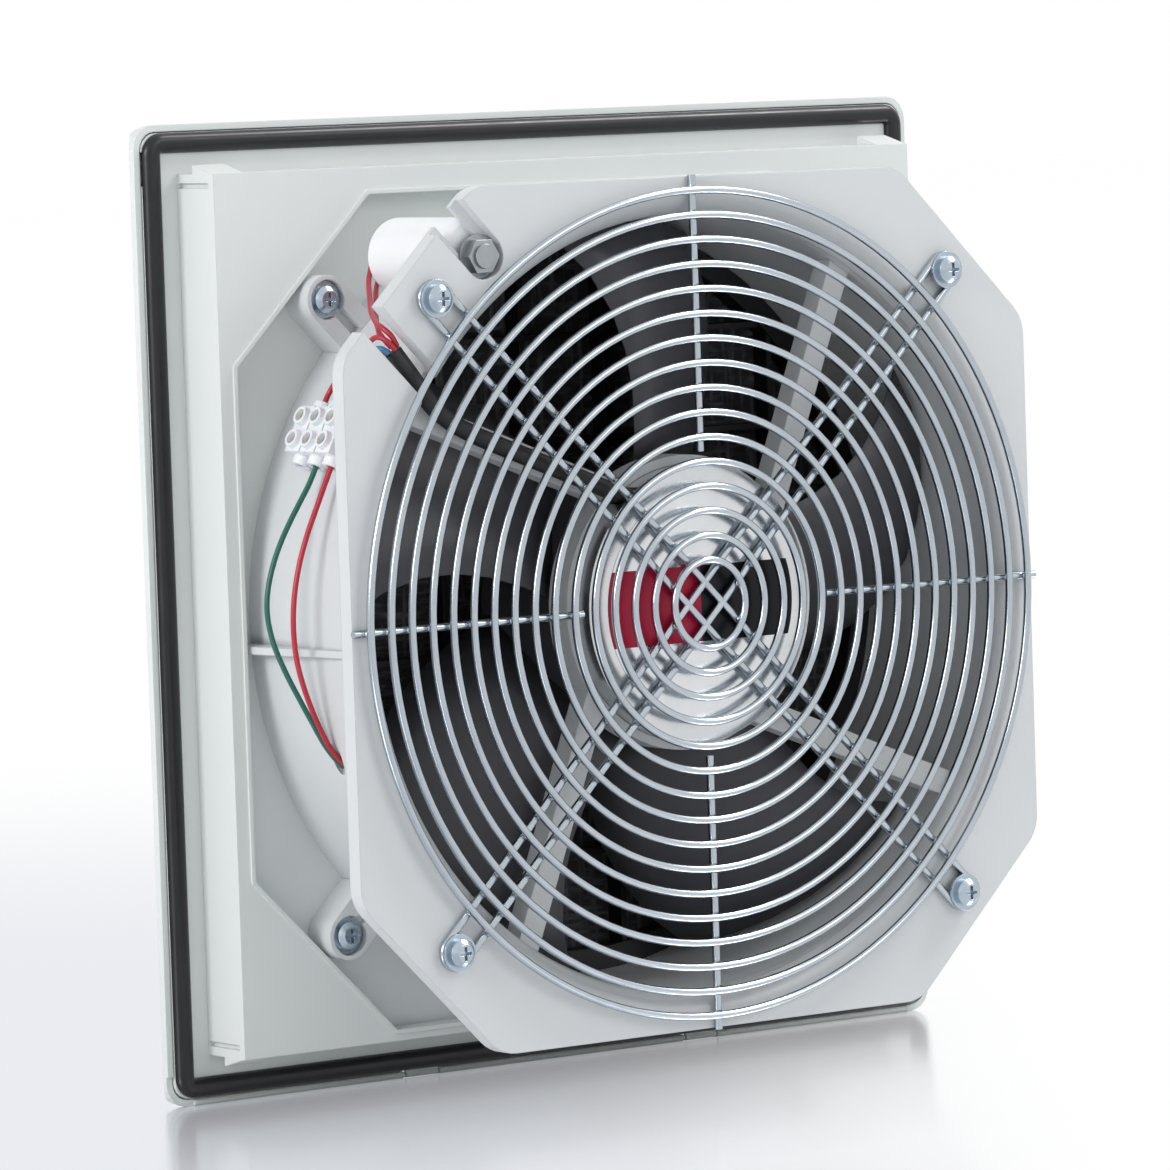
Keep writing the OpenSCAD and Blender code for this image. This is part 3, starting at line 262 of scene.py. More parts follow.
@dataclass(frozen=True)
class Fleece(Finish):
    """Bonded fibres that cross in two directions, paler where they lie on top."""

    fibre_mm: float = 2.2
    fibre_detail: float = 4.0
    fibre_tone: str = "#66686d"
    fibre_from: float = 0.52
    fibre_full: float = 0.74
    lays: tuple[tuple[float, float, float], ...] = ((0.14, 1.0, 1.0), (1.0, 1.0, 0.14))

    def dress(self, tree: bpy.types.NodeTree, shader: bpy.types.Node) -> None:
        """Lays pale fibres over the felt's base tone, which on this mat is painted shade.

        Args:
            tree: The material's node tree.
            shader: Its Principled node.
        """
        super().dress(tree, shader)
        felt = shader.inputs["Base Color"].links[0].from_socket
        place = add_node(tree, "ShaderNodeTexCoord").outputs["Object"]
        strands = []
        for lay in self.lays:
            drawn = add_node(tree, "ShaderNodeMapping", {"Vector": place, "Scale": lay}).outputs["Vector"]
            strand = add_node(
                tree, "ShaderNodeTexNoise",
                {"Vector": drawn, "Scale": per_mm(self.fibre_mm), "Detail": self.fibre_detail})
            strands.append(strand.outputs["Fac"])
        top = add_node(tree, "ShaderNodeMath", {0: strands[0], 1: strands[1]}, operation="MAXIMUM")
        share = add_node(
            tree, "ShaderNodeMapRange",
            {"Value": top.outputs[0], "From Min": self.fibre_from, "From Max": self.fibre_full})
        tone = add_node(
            tree, "ShaderNodeMix",
            {ColourMix.SHARE: share.outputs["Result"], ColourMix.FIRST: felt,
             ColourMix.SECOND: srgb(self.fibre_tone)}, data_type="RGBA")
        tree.links.new(tone.outputs[ColourMix.RESULT], shader.inputs["Base Color"])


class Finishes:
    """Every finish on the part, named for the real material.

    A grain too fine to show in the render, as on moulded plastic or plated metal, is drawn about a millimetre wide.
    """

    # ABS moulded in light grey with a fine eroded texture: soft, wide highlights and slightly rounded edges.
    ABS = Finish("abs_light_grey", "#e1e5e4", "#dadfde", 0.46, grain_mm=0.9, grain_depth_mm=0.02, edge_mm=0.5)
    # Die-cast aluminium under a light grey powder coat: a fine orange peel and a satin gloss.
    POWDER_COAT = Finish(
        "powder_coated_casting", "#d6d9db", "#cfd3d5", 0.4, grain_mm=1.6, grain_depth_mm=0.03, edge_mm=0.7)
    # Foamed EPDM with a closed skin: dark, with a soft sheen on its rounded shoulders.
    FOAM = Finish(
        "epdm_foam", "#0f1014", "#15161a", 0.33, ior=1.45, patch_mm=12, grain_mm=1.6, grain_depth_mm=0.02,
        grain_detail=3.0)
    # Bonded polyester fleece, coloured charcoal as painted shade for the dark space behind the blades: crossing
    # fibres with a faint sheen, drawn coarse enough to show.
    FLEECE_PAINTED_SHADE = Fleece(
        "polyester_fleece_painted_shade", "#1f2022", "#38393c", 0.93, patch_mm=6, grain_mm=0.8, grain_depth_mm=0.6,
        grain_detail=6.0, sheen=0.2, stretch=(0.25, 1.0, 1.0))
    # Moulded polyamide of the inlet grid, coloured black as painted shade for the deep shade behind the blades: dull,
    # with faint highlights along its edges.
    GRID_PAINTED_SHADE = Finish("inlet_grid_shade_black", "#15161a", "#1c1d21", 0.5, grain_mm=0.9, grain_depth_mm=0.02, edge_mm=0.3)
    # Drawn steel wire with a bright zinc plate: sharp highlights broken by faint drawing lines.
    ZINC_WIRE = Finish(
        "bright_zinc_wire", "#c0c7ce", "#a8b0b8", 0.2, roughness_spread=0.05, metallic=1.0, patch_mm=9,
        grain_mm=0.6, grain_depth_mm=0.008)
    # Blue-passivated zinc on rolled screws and washers: bright metal with a cool cast.
    ZINC_BLUE = Finish(
        "blue_zinc_plate", "#b9c6d2", "#a6b1bb", 0.26, metallic=1.0, patch_mm=4, grain_mm=0.5,
        grain_depth_mm=0.01, edge_mm=0.25)
    # Plain zinc on the capacitor's nut, stud and washer: greyer and duller than the screws.
    ZINC_GREY = Finish(
        "plain_zinc_plate", "#a9aeb2", "#8f9498", 0.34, metallic=1.0, patch_mm=4, grain_mm=0.5,
        grain_depth_mm=0.012, edge_mm=0.3)
    # Turned and polished aluminium of the motor's end shield: pale, with soft reflections.
    MOTOR_ALLOY = Finish(
        "turned_aluminium", "#d9dbdd", "#c8ccd0", 0.24, metallic=1.0, patch_mm=14, grain_mm=0.7,
        grain_depth_mm=0.01, edge_mm=0.6)
    # Aluminium foil label with a satin lacquer: a bright, slightly blurred mirror.
    FOIL = LabelFoil(
        "printed_aluminium_foil", "#e1e3e5", "#d2d5d8", 0.22, roughness_spread=0.04, metallic=1.0, patch_mm=9,
        grain_mm=0.5, grain_depth_mm=0.006)
    # Steel blades and rotor in dark grey stove enamel: satin, with broad highlights along the sweep.
    DARK_ENAMEL = Finish(
        "satin_dark_enamel", "#3f4045", "#4a4b50", 0.4, patch_mm=30, grain_mm=1.2, grain_depth_mm=0.03,
        edge_mm=0.4)
    # Stacked electrical sheet, with the sheet edges as fine lines across the stack.
    LAMINATION = Finish(
        "stator_sheet", "#6d6f73", "#595b60", 0.4, metallic=1.0, grain_mm=0.8, grain_depth_mm=0.05,
        stretch=(0.05, 2.0, 0.05))
    # Enamelled copper wire, wound round the stator: warm, glossy strands.
    COPPER = Finish(
        "enamelled_copper", "#b5652f", "#8f4a22", 0.3, metallic=1.0, patch_mm=5, grain_mm=0.9,
        grain_depth_mm=0.12, stretch=(1.0, 3.0, 1.0))
    # Ground bearing steel: clean, nearly sharp reflections.
    GROUND_STEEL = Finish(
        "ground_steel", "#c4c8cc", "#b3b8bd", 0.22, metallic=1.0, grain_mm=0.5, grain_depth_mm=0.006)
    # White polypropylene can, moulded: glossy, with a little light inside its wall.
    CAN_WHITE = Finish(
        "polypropylene_can", "#f3f4f6", "#ebedf0", 0.3, grain_mm=2.0, grain_depth_mm=0.02, subsurface=0.15)
    # Natural polyamide: milky, slightly waxy.
    POLYAMIDE = Finish(
        "natural_polyamide", "#f1f3f6", "#e3e7ec", 0.28, patch_mm=8, grain_mm=1.5, grain_depth_mm=0.03,
        edge_mm=0.4, subsurface=0.3)
    # Turned brass clamp screws under a thin nickel plate: pale, with a faint warm cast.
    NICKEL = Finish(
        "nickel_plated_brass", "#d3d0c6", "#c4bfb0", 0.3, metallic=1.0, grain_mm=0.4, grain_depth_mm=0.01)
    # Extruded black PVC sleeve: a matt skin with a faint grain.
    SLEEVE = Finish("pvc_sleeve_black", "#17181b", "#24262a", 0.5, patch_mm=7, grain_mm=0.9, grain_depth_mm=0.03)
    # PVC insulation: smooth, with a long soft highlight.
    PVC_RED = Finish("pvc_red", "#c2283c", "#ad2034", 0.34, patch_mm=6, grain_mm=0.8, grain_depth_mm=0.012)
    PVC_BLUE = replace(PVC_RED, name="pvc_blue", colour="#3f8fc0", drift="#357fad")
    PVC_BROWN = replace(PVC_RED, name="pvc_brown", colour="#7a4a30", drift="#683c26")
    PVC_GREEN = replace(PVC_RED, name="pvc_green", colour="#1f6b5c", drift="#1a5a4e")


def add_object(name: str, data: bpy.types.ID) -> bpy.types.Object:
    """Makes an object from its data and links it to the scene.

    Args:
        name: The object's name.
        data: Its mesh, curve, lamp or camera.

    Returns:
        The new object.
    """
    made = bpy.data.objects.new(name, data)
    bpy.context.scene.collection.objects.link(made)
    return made


def add_mesh(name: str, shape: bmesh.types.BMesh, material: bpy.types.Material) -> bpy.types.Object:
    """Turns a finished bmesh into an object of one material.

    Args:
        name: The object's name.
        shape: The mesh, placed in the row frame; it is freed.
        material: Its material.

    Returns:
        The new object.
    """
    mesh = bpy.data.meshes.new(name)
    shape.to_mesh(mesh)
    shape.free()
    mesh.materials.append(material)
    return add_object(name, mesh)


def link_mesh(name: str, shape: bmesh.types.BMesh, finish: Finish, body: Body) -> bpy.types.Object:
    """Turns a finished bmesh into a piece of the part.

    Args:
        name: The piece's name.
        shape: The mesh, placed in the row frame; it is freed.
        finish: What the piece is made of.
        body: The body that it rides on.

    Returns:
        The new object.
    """
    made = add_mesh(name, shape, finish.material())
    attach(made, body.value)
    LOG.info("%s: %d faces", name, len(made.data.polygons))
    return made


def smooth(made: bpy.types.Object, sharp_degrees: float) -> None:
    """Shades a piece smooth, but keeps edges above an angle sharp."""
    made.data.shade_smooth()
    made.data.set_sharp_from_angle(angle=math.radians(sharp_degrees))


@dataclass(frozen=True)
class Cord:
    """One loose wire of the wiring, along the route of its solid.

    Route points are millimetres from the fan's axis, as in the part's source.
    """

    node: str
    slot: str
    finish: Finish
    route: tuple[tuple[float, float, float], ...]
    diameter_mm: float = 1.8
    stiffness: Stiffness = Stiffness.LIMP
    steps: int = 2
    round_steps: int = 4
    bend_steps: int = 4

    def path(self) -> list[Vector]:
        """Rounds the route with a Catmull-Rom curve.

        Returns:
            The points of the wire's centre line, in metres.
        """
        p = [from_fan(*point) for point in self.route]
        last = len(p) - 1
        line = []
        for i in range(last):
            a, b, c, d = p[max(i - 1, 0)], p[i], p[i + 1], p[min(i + 2, last)]
            for k in range(self.steps):
                t = k / self.steps
                line.append(
                    (2 * b + (c - a) * t + (2 * a - 5 * b + 4 * c - d) * t ** 2
                     + (3 * b - a - 3 * c + d) * t ** 3) / 2)
        return [*line, p[last]]

    def tube(self, name: str) -> bpy.types.Object:
        """Makes the wire as a round curve.

        Args:
            name: The piece's name.

        Returns:
            The curve object, riding on the frame.
        """
        curve = bpy.data.curves.new(name, "CURVE")
        curve.dimensions = "3D"
        curve.bevel_depth = self.diameter_mm / 2 * MM
        curve.bevel_resolution = self.round_steps
        curve.resolution_u = self.bend_steps
        curve.use_fill_caps = True
        path = self.path()
        spline = curve.splines.new("BEZIER")
        spline.bezier_points.add(len(path) - 1)
        for knot, place in zip(spline.bezier_points, path):
            knot.co = place
            knot.handle_left_type = knot.handle_right_type = "AUTO"
        made = add_object(name, curve)
        curve.materials.append(self.finish.material())
        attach(made, Body.FRAME.value)
        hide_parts(self.node)
        LOG.info("%s: %.0f mm long", name, self.length(made) / MM)
        return made

    @staticmethod
    def length(made: bpy.types.Object) -> float:
        """Measures a wire's centre line, in metres."""
        return made.data.splines[0].calc_length()


@dataclass
class Wiring:
    """The loose wires and leads between motor cable, capacitor, terminal block and shroud."""

    motor_red: Cord = Cord("motor_lead_red", "lead_red", Finishes.PVC_RED, (
        (-115.4, 88.8, 79.2), (-117.4, 91.4, 78.5), (-118.9, 93, 76), (-118.9, 92.7, 72.6),
        (-118.4, 91.5, 69.6), (-117.8, 90.1, 66.4), (-117.2, 88.8, 63.5), (-116.6, 87.4, 60.3),
        (-115.9, 86, 57.3), (-115.3, 84.7, 54.4), (-114.7, 83.4, 51.3), (-114, 82, 48.1), (-113.3, 80.5, 45.1),
        (-112.4, 79, 42.2), (-111.9, 77.2, 39.4), (-112.8, 74.4, 37.6), (-114.4, 71.6, 37.5),
        (-116, 68.5, 37.5)))
    motor_blue: Cord = Cord("motor_lead_blue", "lead_blue", Finishes.PVC_BLUE, (
        (-116.8, 87.8, 77.9), (-118.4, 89.3, 76.4), (-118.9, 89.3, 73.6), (-118.3, 88.4, 71.1),
        (-117.6, 87.3, 68.5), (-116.9, 86.1, 66), (-116.3, 85, 63.6), (-115.6, 83.8, 61), (-115, 82.7, 58.7),
        (-114.3, 81.5, 56.2), (-113.6, 80.2, 53.6), (-112.7, 79, 51.2), (-112, 77.8, 48.8),
        (-112.1, 75.9, 46.8), (-113.3, 73.4, 46), (-114.7, 71, 46), (-116, 68.5, 46)))
    motor_brown: Cord = Cord("motor_lead_brown", "lead_brown", Finishes.PVC_BROWN, (
        (-116.1, 87.9, 75.8), (-116.5, 87.5, 73.5), (-116.2, 86.4, 71.4), (-115.7, 85.2, 69.5),
        (-115.2, 84, 67.6), (-114.6, 82.8, 65.5), (-114, 81.7, 63.6), (-113.5, 80.5, 61.5),
        (-112.8, 79.4, 59.6), (-112.1, 78.1, 57.7), (-111.9, 76.6, 55.9), (-112.6, 74.7, 54.8),
        (-113.8, 72.7, 54.5), (-114.9, 70.6, 54.5), (-116, 68.5, 54.5)))
    capacitor_a: Cord = Cord("capacitor_lead_a", "lead_red", Finishes.PVC_RED, (
        (-113.8, 90, 78), (-115.9, 93.3, 78.1), (-117.4, 95.9, 75.6), (-116.8, 97, 72), (-115.2, 97.9, 68.4),
        (-113.4, 98.8, 65), (-111.6, 99.7, 61.7), (-109.5, 100.7, 58.2), (-107.5, 101.7, 55.1),
        (-105.3, 102.8, 51.8), (-103.2, 103.9, 48.7), (-101.1, 105.3, 45.5), (-99.1, 106.8, 42.5),
        (-97, 108.5, 39.4), (-94.9, 110.3, 36.6), (-92.7, 112.3, 34.2), (-90.3, 114.6, 31.8),
        (-87.6, 117.1, 30.7), (-85.3, 119.2, 32.8), (-84.9, 119.5, 36.7)))
    capacitor_b: Cord = Cord("capacitor_lead_b", "lead_red", Finishes.PVC_RED, (
        (-114.5, 89.5, 76), (-116.3, 92.3, 74.4), (-115.7, 94.1, 71.2), (-113.9, 95.2, 68.1),
        (-112.1, 96.2, 65), (-110.1, 97.2, 61.7), (-108.2, 98.2, 58.9), (-106, 99.2, 55.7),
        (-103.8, 100.1, 52.6), (-101.8, 101, 49.9), (-99.6, 102.1, 46.8), (-97.5, 103.3, 43.8),
        (-95.5, 104.4, 41), (-93.5, 105.7, 38.2), (-91.2, 107.2, 35.4), (-88.9, 108.9, 32.9),
        (-86.5, 110.9, 30.7), (-83.9, 113.3, 30.3), (-82.1, 115.1, 33), (-81.9, 115.3, 36.7)))
    green: Cord = Cord("green_wire", "lead_green", Finishes.PVC_GREEN, (
        (-123.4, 54, 46), (-124.8, 51.3, 46), (-128, 45.5, 46), (-132.8, 38.5, 46), (-138, 30.5, 46),
        (-142.3, 22, 46), (-145.2, 12.5, 46), (-145.6, 4, 46), (-143.6, -5, 46.2), (-139.8, -14, 46.6),
        (-135.2, -23, 47.2), (-131, -31, 48), (-127.3, -37.8, 48.6), (-123.6, -42.6, 48.8), (-120, -45.8, 48.8)),
        stiffness=Stiffness.MEDIUM)
    red: Cord = Cord("red_wire", "lead_red", Finishes.PVC_RED, (
        (-123.4, 54, 54.5), (-124.8, 51.3, 54.5), (-127.2, 46.5, 54.5), (-130.6, 39.5, 54.5),
        (-134.8, 30.5, 54.4), (-138.2, 21, 54.2), (-140.4, 11, 54), (-141, 1, 53.7), (-140, -9, 53.3),
        (-137.4, -18, 52.8), (-133.8, -26.5, 52.2), (-130, -33.8, 51.6), (-126.9, -38.9, 51.3),
        (-123.6, -42.6, 51.2), (-120, -45.8, 51.2)), stiffness=Stiffness.MEDIUM)
    sleeve: Cord = Cord("motor_cable", "sleeve_black", Finishes.SLEEVE, (
        (-25, 36.2, 79.4), (-32.3, 39, 79.4), (-39.4, 41.8, 79.4), (-46.3, 44.5, 79.4), (-53.5, 47.3, 79.4),
        (-60.7, 50.1, 79.4), (-67.6, 52.8, 79.4), (-74.6, 55.5, 79.4), (-81.9, 58.5, 79.4), (-88.7, 61.5, 79.4),
        (-95.5, 65.2, 79.4), (-101.4, 69.9, 79.4), (-106.4, 75.9, 79.4), (-110.8, 82, 78.7), (-115, 88.2, 77.4)), 6.0)

    def build(self) -> None:
        """Makes the held cable and each loose wire."""
        self.sleeve.tube("motor_cable_sleeve")
        for cord in (self.motor_red, self.motor_blue, self.motor_brown, self.capacitor_a, self.capacitor_b,
                     self.green, self.red):
            made = cord.tube(f"{cord.node}_insulation")
            length = cord.length(made)
            tuple(cord.path()[0])


@dataclass
class Gasket:
    """The foamed sealing strip round the flange: a low, rounded bead with turned corners."""

    width_mm: float = 6.6
    corner_mm: float = 7.2
    crown_mm: float = 2.7
    corner_segments: int = 10
    crown_segments: int = 7
    flat_mm: float = 0.01
    rim_radians: float = 1.0
    sharp_degrees: float = 60.0

    def build(self) -> bpy.types.Object:
        """Makes the strip inside its solid's box.

        Returns:
            The strip.
        """
        low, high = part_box("gasket")
        size, middle = high - low, (low + high) / 2
        shape = bmesh.new()
        bmesh.ops.create_grid(
            shape, x_segments=1, y_segments=1, size=size.x / 2,
            matrix=Matrix.Translation((middle.x, low.y, middle.z)) @ Matrix.Rotation(-math.pi / 2, 4, "X"))
        bmesh.ops.bevel(
            shape, geom=shape.verts[:], offset=self.corner_mm * MM, offset_type="OFFSET",
            segments=self.corner_segments, profile=0.5, affect="VERTICES", material=-1)
        inner = shape.faces[:]
        ring = bmesh.ops.inset_region(
            shape, faces=inner, thickness=self.width_mm * MM, use_boundary=True, use_even_offset=True)["faces"]
        bmesh.ops.delete(shape, geom=inner, context="FACES")
        bmesh.ops.solidify(shape, geom=ring, thickness=size.y)
        bmesh.ops.recalc_face_normals(shape, faces=shape.faces[:])
        base = min(vert.co.y for vert in shape.verts)
        bmesh.ops.translate(shape, verts=shape.verts[:], vec=(0, low.y - base, 0))
        rims = [
            edge for edge in shape.edges
            if all(vert.co.y > high.y - self.flat_mm * MM for vert in edge.verts)
            and edge.calc_face_angle() > self.rim_radians]
        bmesh.ops.bevel(
            shape, geom=rims, offset=self.crown_mm * MM, offset_type="OFFSET", segments=self.crown_segments,
            profile=0.5, affect="EDGES", clamp_overlap=False, material=-1)
        made = link_mesh("gasket_bead", shape, Finishes.FOAM, Body.FRAME)
        smooth(made, self.sharp_degrees)
        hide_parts("gasket")
        return made


@dataclass
class FilterMat:
    """The fleece mat behind the louvres, a soft slab with an uneven face."""

    cells: int = 60
    corner_mm: float = 4.0
    swell_mm: float = 0.35
    lump_mm: float = 14.0
    corner_segments: int = 3
    sharp_degrees: float = 60.0

    def build(self) -> bpy.types.Object:
        """Makes the mat inside its solid's box.

        Returns:
            The mat.
        """
        low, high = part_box("filter_mat")
        margin = self.swell_mm * MM
        size = high - low - Vector((2 * margin,) * 3)
        shape = bmesh.new()
        bmesh.ops.create_cube(
            shape, size=1.0, matrix=Matrix.Translation((low + high) / 2) @ Matrix.Diagonal((*size, 1)))
        bmesh.ops.bevel(
            shape, geom=shape.edges[:], offset=self.corner_mm * MM, offset_type="OFFSET",
            segments=self.corner_segments, profile=0.5, affect="EDGES", material=-1)
        long_edges = [e for e in shape.edges if e.calc_length() > size.x / 2]
        bmesh.ops.subdivide_edges(shape, edges=long_edges, cuts=self.cells, use_grid_fill=True)
        shape.normal_update()
        for vert in shape.verts:
            lump = noise.noise(vert.co / (self.lump_mm * MM))
            vert.co += vert.normal * lump * margin
        # The mat's charcoal colour is painted shade.
        made = link_mesh("filter_fleece", shape, Finishes.FLEECE_PAINTED_SHADE, Body.FRAME)
        smooth(made, self.sharp_degrees)
        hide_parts("filter_mat")
        return made


@dataclass
class Impeller:
    """The swept blades on the rotor cup, shaded as one smooth surface each."""

    sharp_degrees: float = 45.0
    merge_mm: float = 0.01

    def build(self) -> bpy.types.Object:
        """Copies the blades' solid, merges it and smooths its shading.

        Returns:
            The blades.
        """
        shape = bmesh.new()
        shape.from_mesh(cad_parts["impeller_blades"].data)
        bmesh.ops.remove_doubles(shape, verts=shape.verts[:], dist=self.merge_mm * MM)
        made = link_mesh("blade_set", shape, Finishes.DARK_ENAMEL, Body.IMPELLER)
        smooth(made, self.sharp_degrees)
        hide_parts("impeller_blades")
        return made


@dataclass
class GuardWelds:
    """Spot welds where the guard's rings cross its hairpins and short radial wires."""

    ring_count: int = 16
    ring_r_mm: tuple[float, float] = (14.5, 135.5)
    radial_from_mm: float = 50.0
    hairpin_half_mm: float = 5.0
    weld_z_mm: float = 87.7
    weld_r_mm: float = 1.25
    weld_l_mm: float = 1.7
    bead_segments: int = 8
    bead_rings: int = 5
    sharp_degrees: float = 80.0
    radial_degrees: tuple[float, ...] = (0, 90, 180, 270)
    hairpin_degrees: tuple[float, ...] = (45, 135, 225, 315)

    def radii(self) -> list[float]:
        """Gives the rings' radii, in millimetres."""
        low, high = self.ring_r_mm
        return [low + i * (high - low) / (self.ring_count - 1) for i in range(self.ring_count)]

    def places(self) -> list[tuple[float, float]]:
        """Finds every crossing.

        Returns:
            Angle in degrees and radius in millimetres of each weld.
        """
        found = [(turn, r) for turn in self.radial_degrees for r in self.radii() if r > self.radial_from_mm]
        for turn in self.hairpin_degrees:
            for r in self.radii():
                lean = math.degrees(math.asin(self.hairpin_half_mm / r))
                found += [(turn - lean, r), (turn + lean, r)]
        return found

    def build(self) -> bpy.types.Object:
        """Sets a flattened bead at each crossing.

        Returns:
            The welds, as one piece.
        """
        shape = bmesh.new()
        stretch = Matrix.Diagonal((self.weld_l_mm * MM, self.weld_r_mm * MM, self.weld_r_mm * MM, 1))
        for turn, r in self.places():
            angle = math.radians(turn)
            spot = from_fan(r * math.cos(angle), r * math.sin(angle), self.weld_z_mm)
            spin = Matrix.Rotation(angle, 4, "Y")
            bmesh.ops.create_uvsphere(
                shape, u_segments=self.bead_segments, v_segments=self.bead_rings, radius=1.0,
                matrix=Matrix.Translation(spot) @ spin @ stretch)
        made = link_mesh("guard_welds", shape, Finishes.ZINC_WIRE, Body.FRAME)
        smooth(made, self.sharp_degrees)
        return made


@dataclass(frozen=True)
class Softbox:
    """A round, soft lamp that faces the part: place and size in metres, power in watts."""

    place: tuple[float, float, float]
    size: float
    power: float


@dataclass
class Studio:
    """The pale floor, soft lamps and the camera at the photograph's angle, in metres."""

    eye: tuple[float, float, float] = (1.4886, 2.0340, 0.1806)
    yaw_right: tuple[float, float, float] = (-0.8041, 0.5945, 0.0)
    tilt_up: tuple[float, float, float] = (-0.0425, -0.0575, 0.9974)
    roll_degrees: float = 1.9
    lens_mm: float = 230.8
    sensor_mm: float = 36.0
    floor_z: float = -0.160
    floor_size: float = 30.0
    ledge_y: float = -0.02
    ledge_drop: float = 0.02
    # Tone of the painted shade on the floor, towards the camera and its left.
    floor_shade_tone: str = "#eaecf1"
    mirror_near: float = 0.7
    mirror_far: float = 0.1
    mirror_fade: float = 0.24
    mirror_roughness: float = 0.16
    matt_tone: tuple[float, float, float, float] = (0.82, 0.83, 0.85, 1.0)
    towards_eye: tuple[float, float, float] = (0.593, 0.802, 0.0)
    shade_depth: tuple[float, float] = (-1.4, -0.4)
    shade_side: tuple[float, float] = (0.18, -0.05)
    sky_on_part: float = 0.55
    sky_shown: float = 1.0
    lamps: tuple[Softbox, ...] = (
        Softbox((2.6, 0.4, 0.9), 1.2, 36.0),
        Softbox((-1.4, 2.6, 1.4), 1.4, 14.0),
        Softbox((-1.55, 0.6, 2.0), 0.9, 34.0),
    )

    @staticmethod
    def backdrop_rays(tree: bpy.types.NodeTree) -> bpy.types.NodeSocket:
        """Tells rays that show the backdrop, straight or by way of metal and glass, from rays that light the part.

        Args:
            tree: The node tree of the world or of the floor's material.

        Returns:
            A socket that is 1 for the first kind and 0 for the second.
        """
        ray = add_node(tree, "ShaderNodeLightPath").outputs
        shown = ray["Is Camera Ray"]
        for other in ("Is Glossy Ray", "Is Transmission Ray"):
            shown = add_node(tree, "ShaderNodeMath", {0: shown, 1: ray[other]}, operation="MAXIMUM").outputs[0]
        return shown

    def camera(self) -> None:
        """Places the camera from its fitted axes."""
        right0, up0 = Vector(self.yaw_right), Vector(self.tilt_up)
        c, s = math.cos(math.radians(self.roll_degrees)), math.sin(math.radians(self.roll_degrees))
        right = (c * right0 - s * up0).normalized()
        back = right0.cross(up0).normalized()
        up = back.cross(right).normalized()
        data = bpy.data.cameras.new("camera")
        data.lens, data.sensor_width = self.lens_mm, self.sensor_mm
        made = add_object("camera", data)
        turn = Matrix((right, up, back)).transposed().to_4x4()
        made.matrix_world = Matrix.Translation(self.eye) @ turn
        bpy.context.scene.camera = made

    def light(self) -> None:
        """Sets up the soft lamps and the white world."""
        for number, lamp in enumerate(self.lamps):
            data = bpy.data.lights.new(f"softbox_{number}", "AREA")
            data.shape, data.size, data.energy = "DISK", lamp.size, lamp.power
            made = add_object(data.name, data)
            made.location = lamp.place
            made.rotation_euler = (-Vector(lamp.place)).to_track_quat("-Z", "Y").to_euler()
        world = bpy.data.worlds.new("studio")
        world.use_nodes = True
        tree = world.node_tree
        tree.nodes.clear()
        strength = add_node(
            tree, "ShaderNodeMapRange",
            {"Value": self.backdrop_rays(tree), "To Min": self.sky_on_part, "To Max": self.sky_shown})
        sky = add_node(
            tree, "ShaderNodeBackground", {"Color": srgb(WHITE), "Strength": strength.outputs["Result"]})
        add_node(tree, "ShaderNodeOutputWorld", {"Surface": sky.outputs[0]})
        bpy.context.scene.world = world

    def floor(self) -> None:
        """Lays the floor, which mirrors the object softly; its painted shade fades to white behind it.

        It steps down just in front of the cover, so that the open cover hangs clear of it.
        """
        half = self.floor_size / 2
        shape = bmesh.new()
        bmesh.ops.create_grid(
            shape, x_segments=1, y_segments=1, size=half,
            matrix=Matrix.Translation((0, half + self.ledge_y, self.floor_z)))
        for step in (Vector((0, 0, -self.ledge_drop)), Vector((0, -half, 0))):
            # The front edge, and of two that lie above each other the lower one.
            lip = min(shape.edges, key=lambda edge: tuple(sum((v.co for v in edge.verts), Vector()).yz))
            grown = bmesh.ops.extrude_edge_only(shape, edges=[lip])["geom"]
            bmesh.ops.translate(
                shape, verts=[part for part in grown if isinstance(part, bmesh.types.BMVert)], vec=step)
        made = add_mesh("floor", shape, self.floor_material())

    def floor_material(self) -> bpy.types.Material:
        """Makes the floor's material.

        Returns:
            A pale surface with painted shade that deepens a little towards the camera and its left, with a soft
            mirror in it.
        """
        made = bpy.data.materials.new("studio_floor")
        made.use_nodes = True
        tree = made.node_tree
        tree.nodes.clear()
        place = add_node(tree, "ShaderNodeTexCoord").outputs["Object"]
        near = add_node(tree, "ShaderNodeVectorMath", {0: place, 1: self.towards_eye}, operation="DOT_PRODUCT")
        side = add_node(tree, "ShaderNodeVectorMath", {0: place, 1: self.yaw_right}, operation="DOT_PRODUCT")
        depth = add_node(
            tree, "ShaderNodeMapRange",
            {"Value": near.outputs["Value"], "From Min": self.shade_depth[0], "From Max": self.shade_depth[1]},
            interpolation_type="SMOOTHSTEP")
        left = add_node(
            tree, "ShaderNodeMapRange",
            {"Value": side.outputs["Value"], "From Min": self.shade_side[0], "From Max": self.shade_side[1]},
            interpolation_type="SMOOTHSTEP")
        shade = add_node(
            tree, "ShaderNodeMath", {0: depth.outputs["Result"], 1: left.outputs["Result"]}, operation="MULTIPLY")
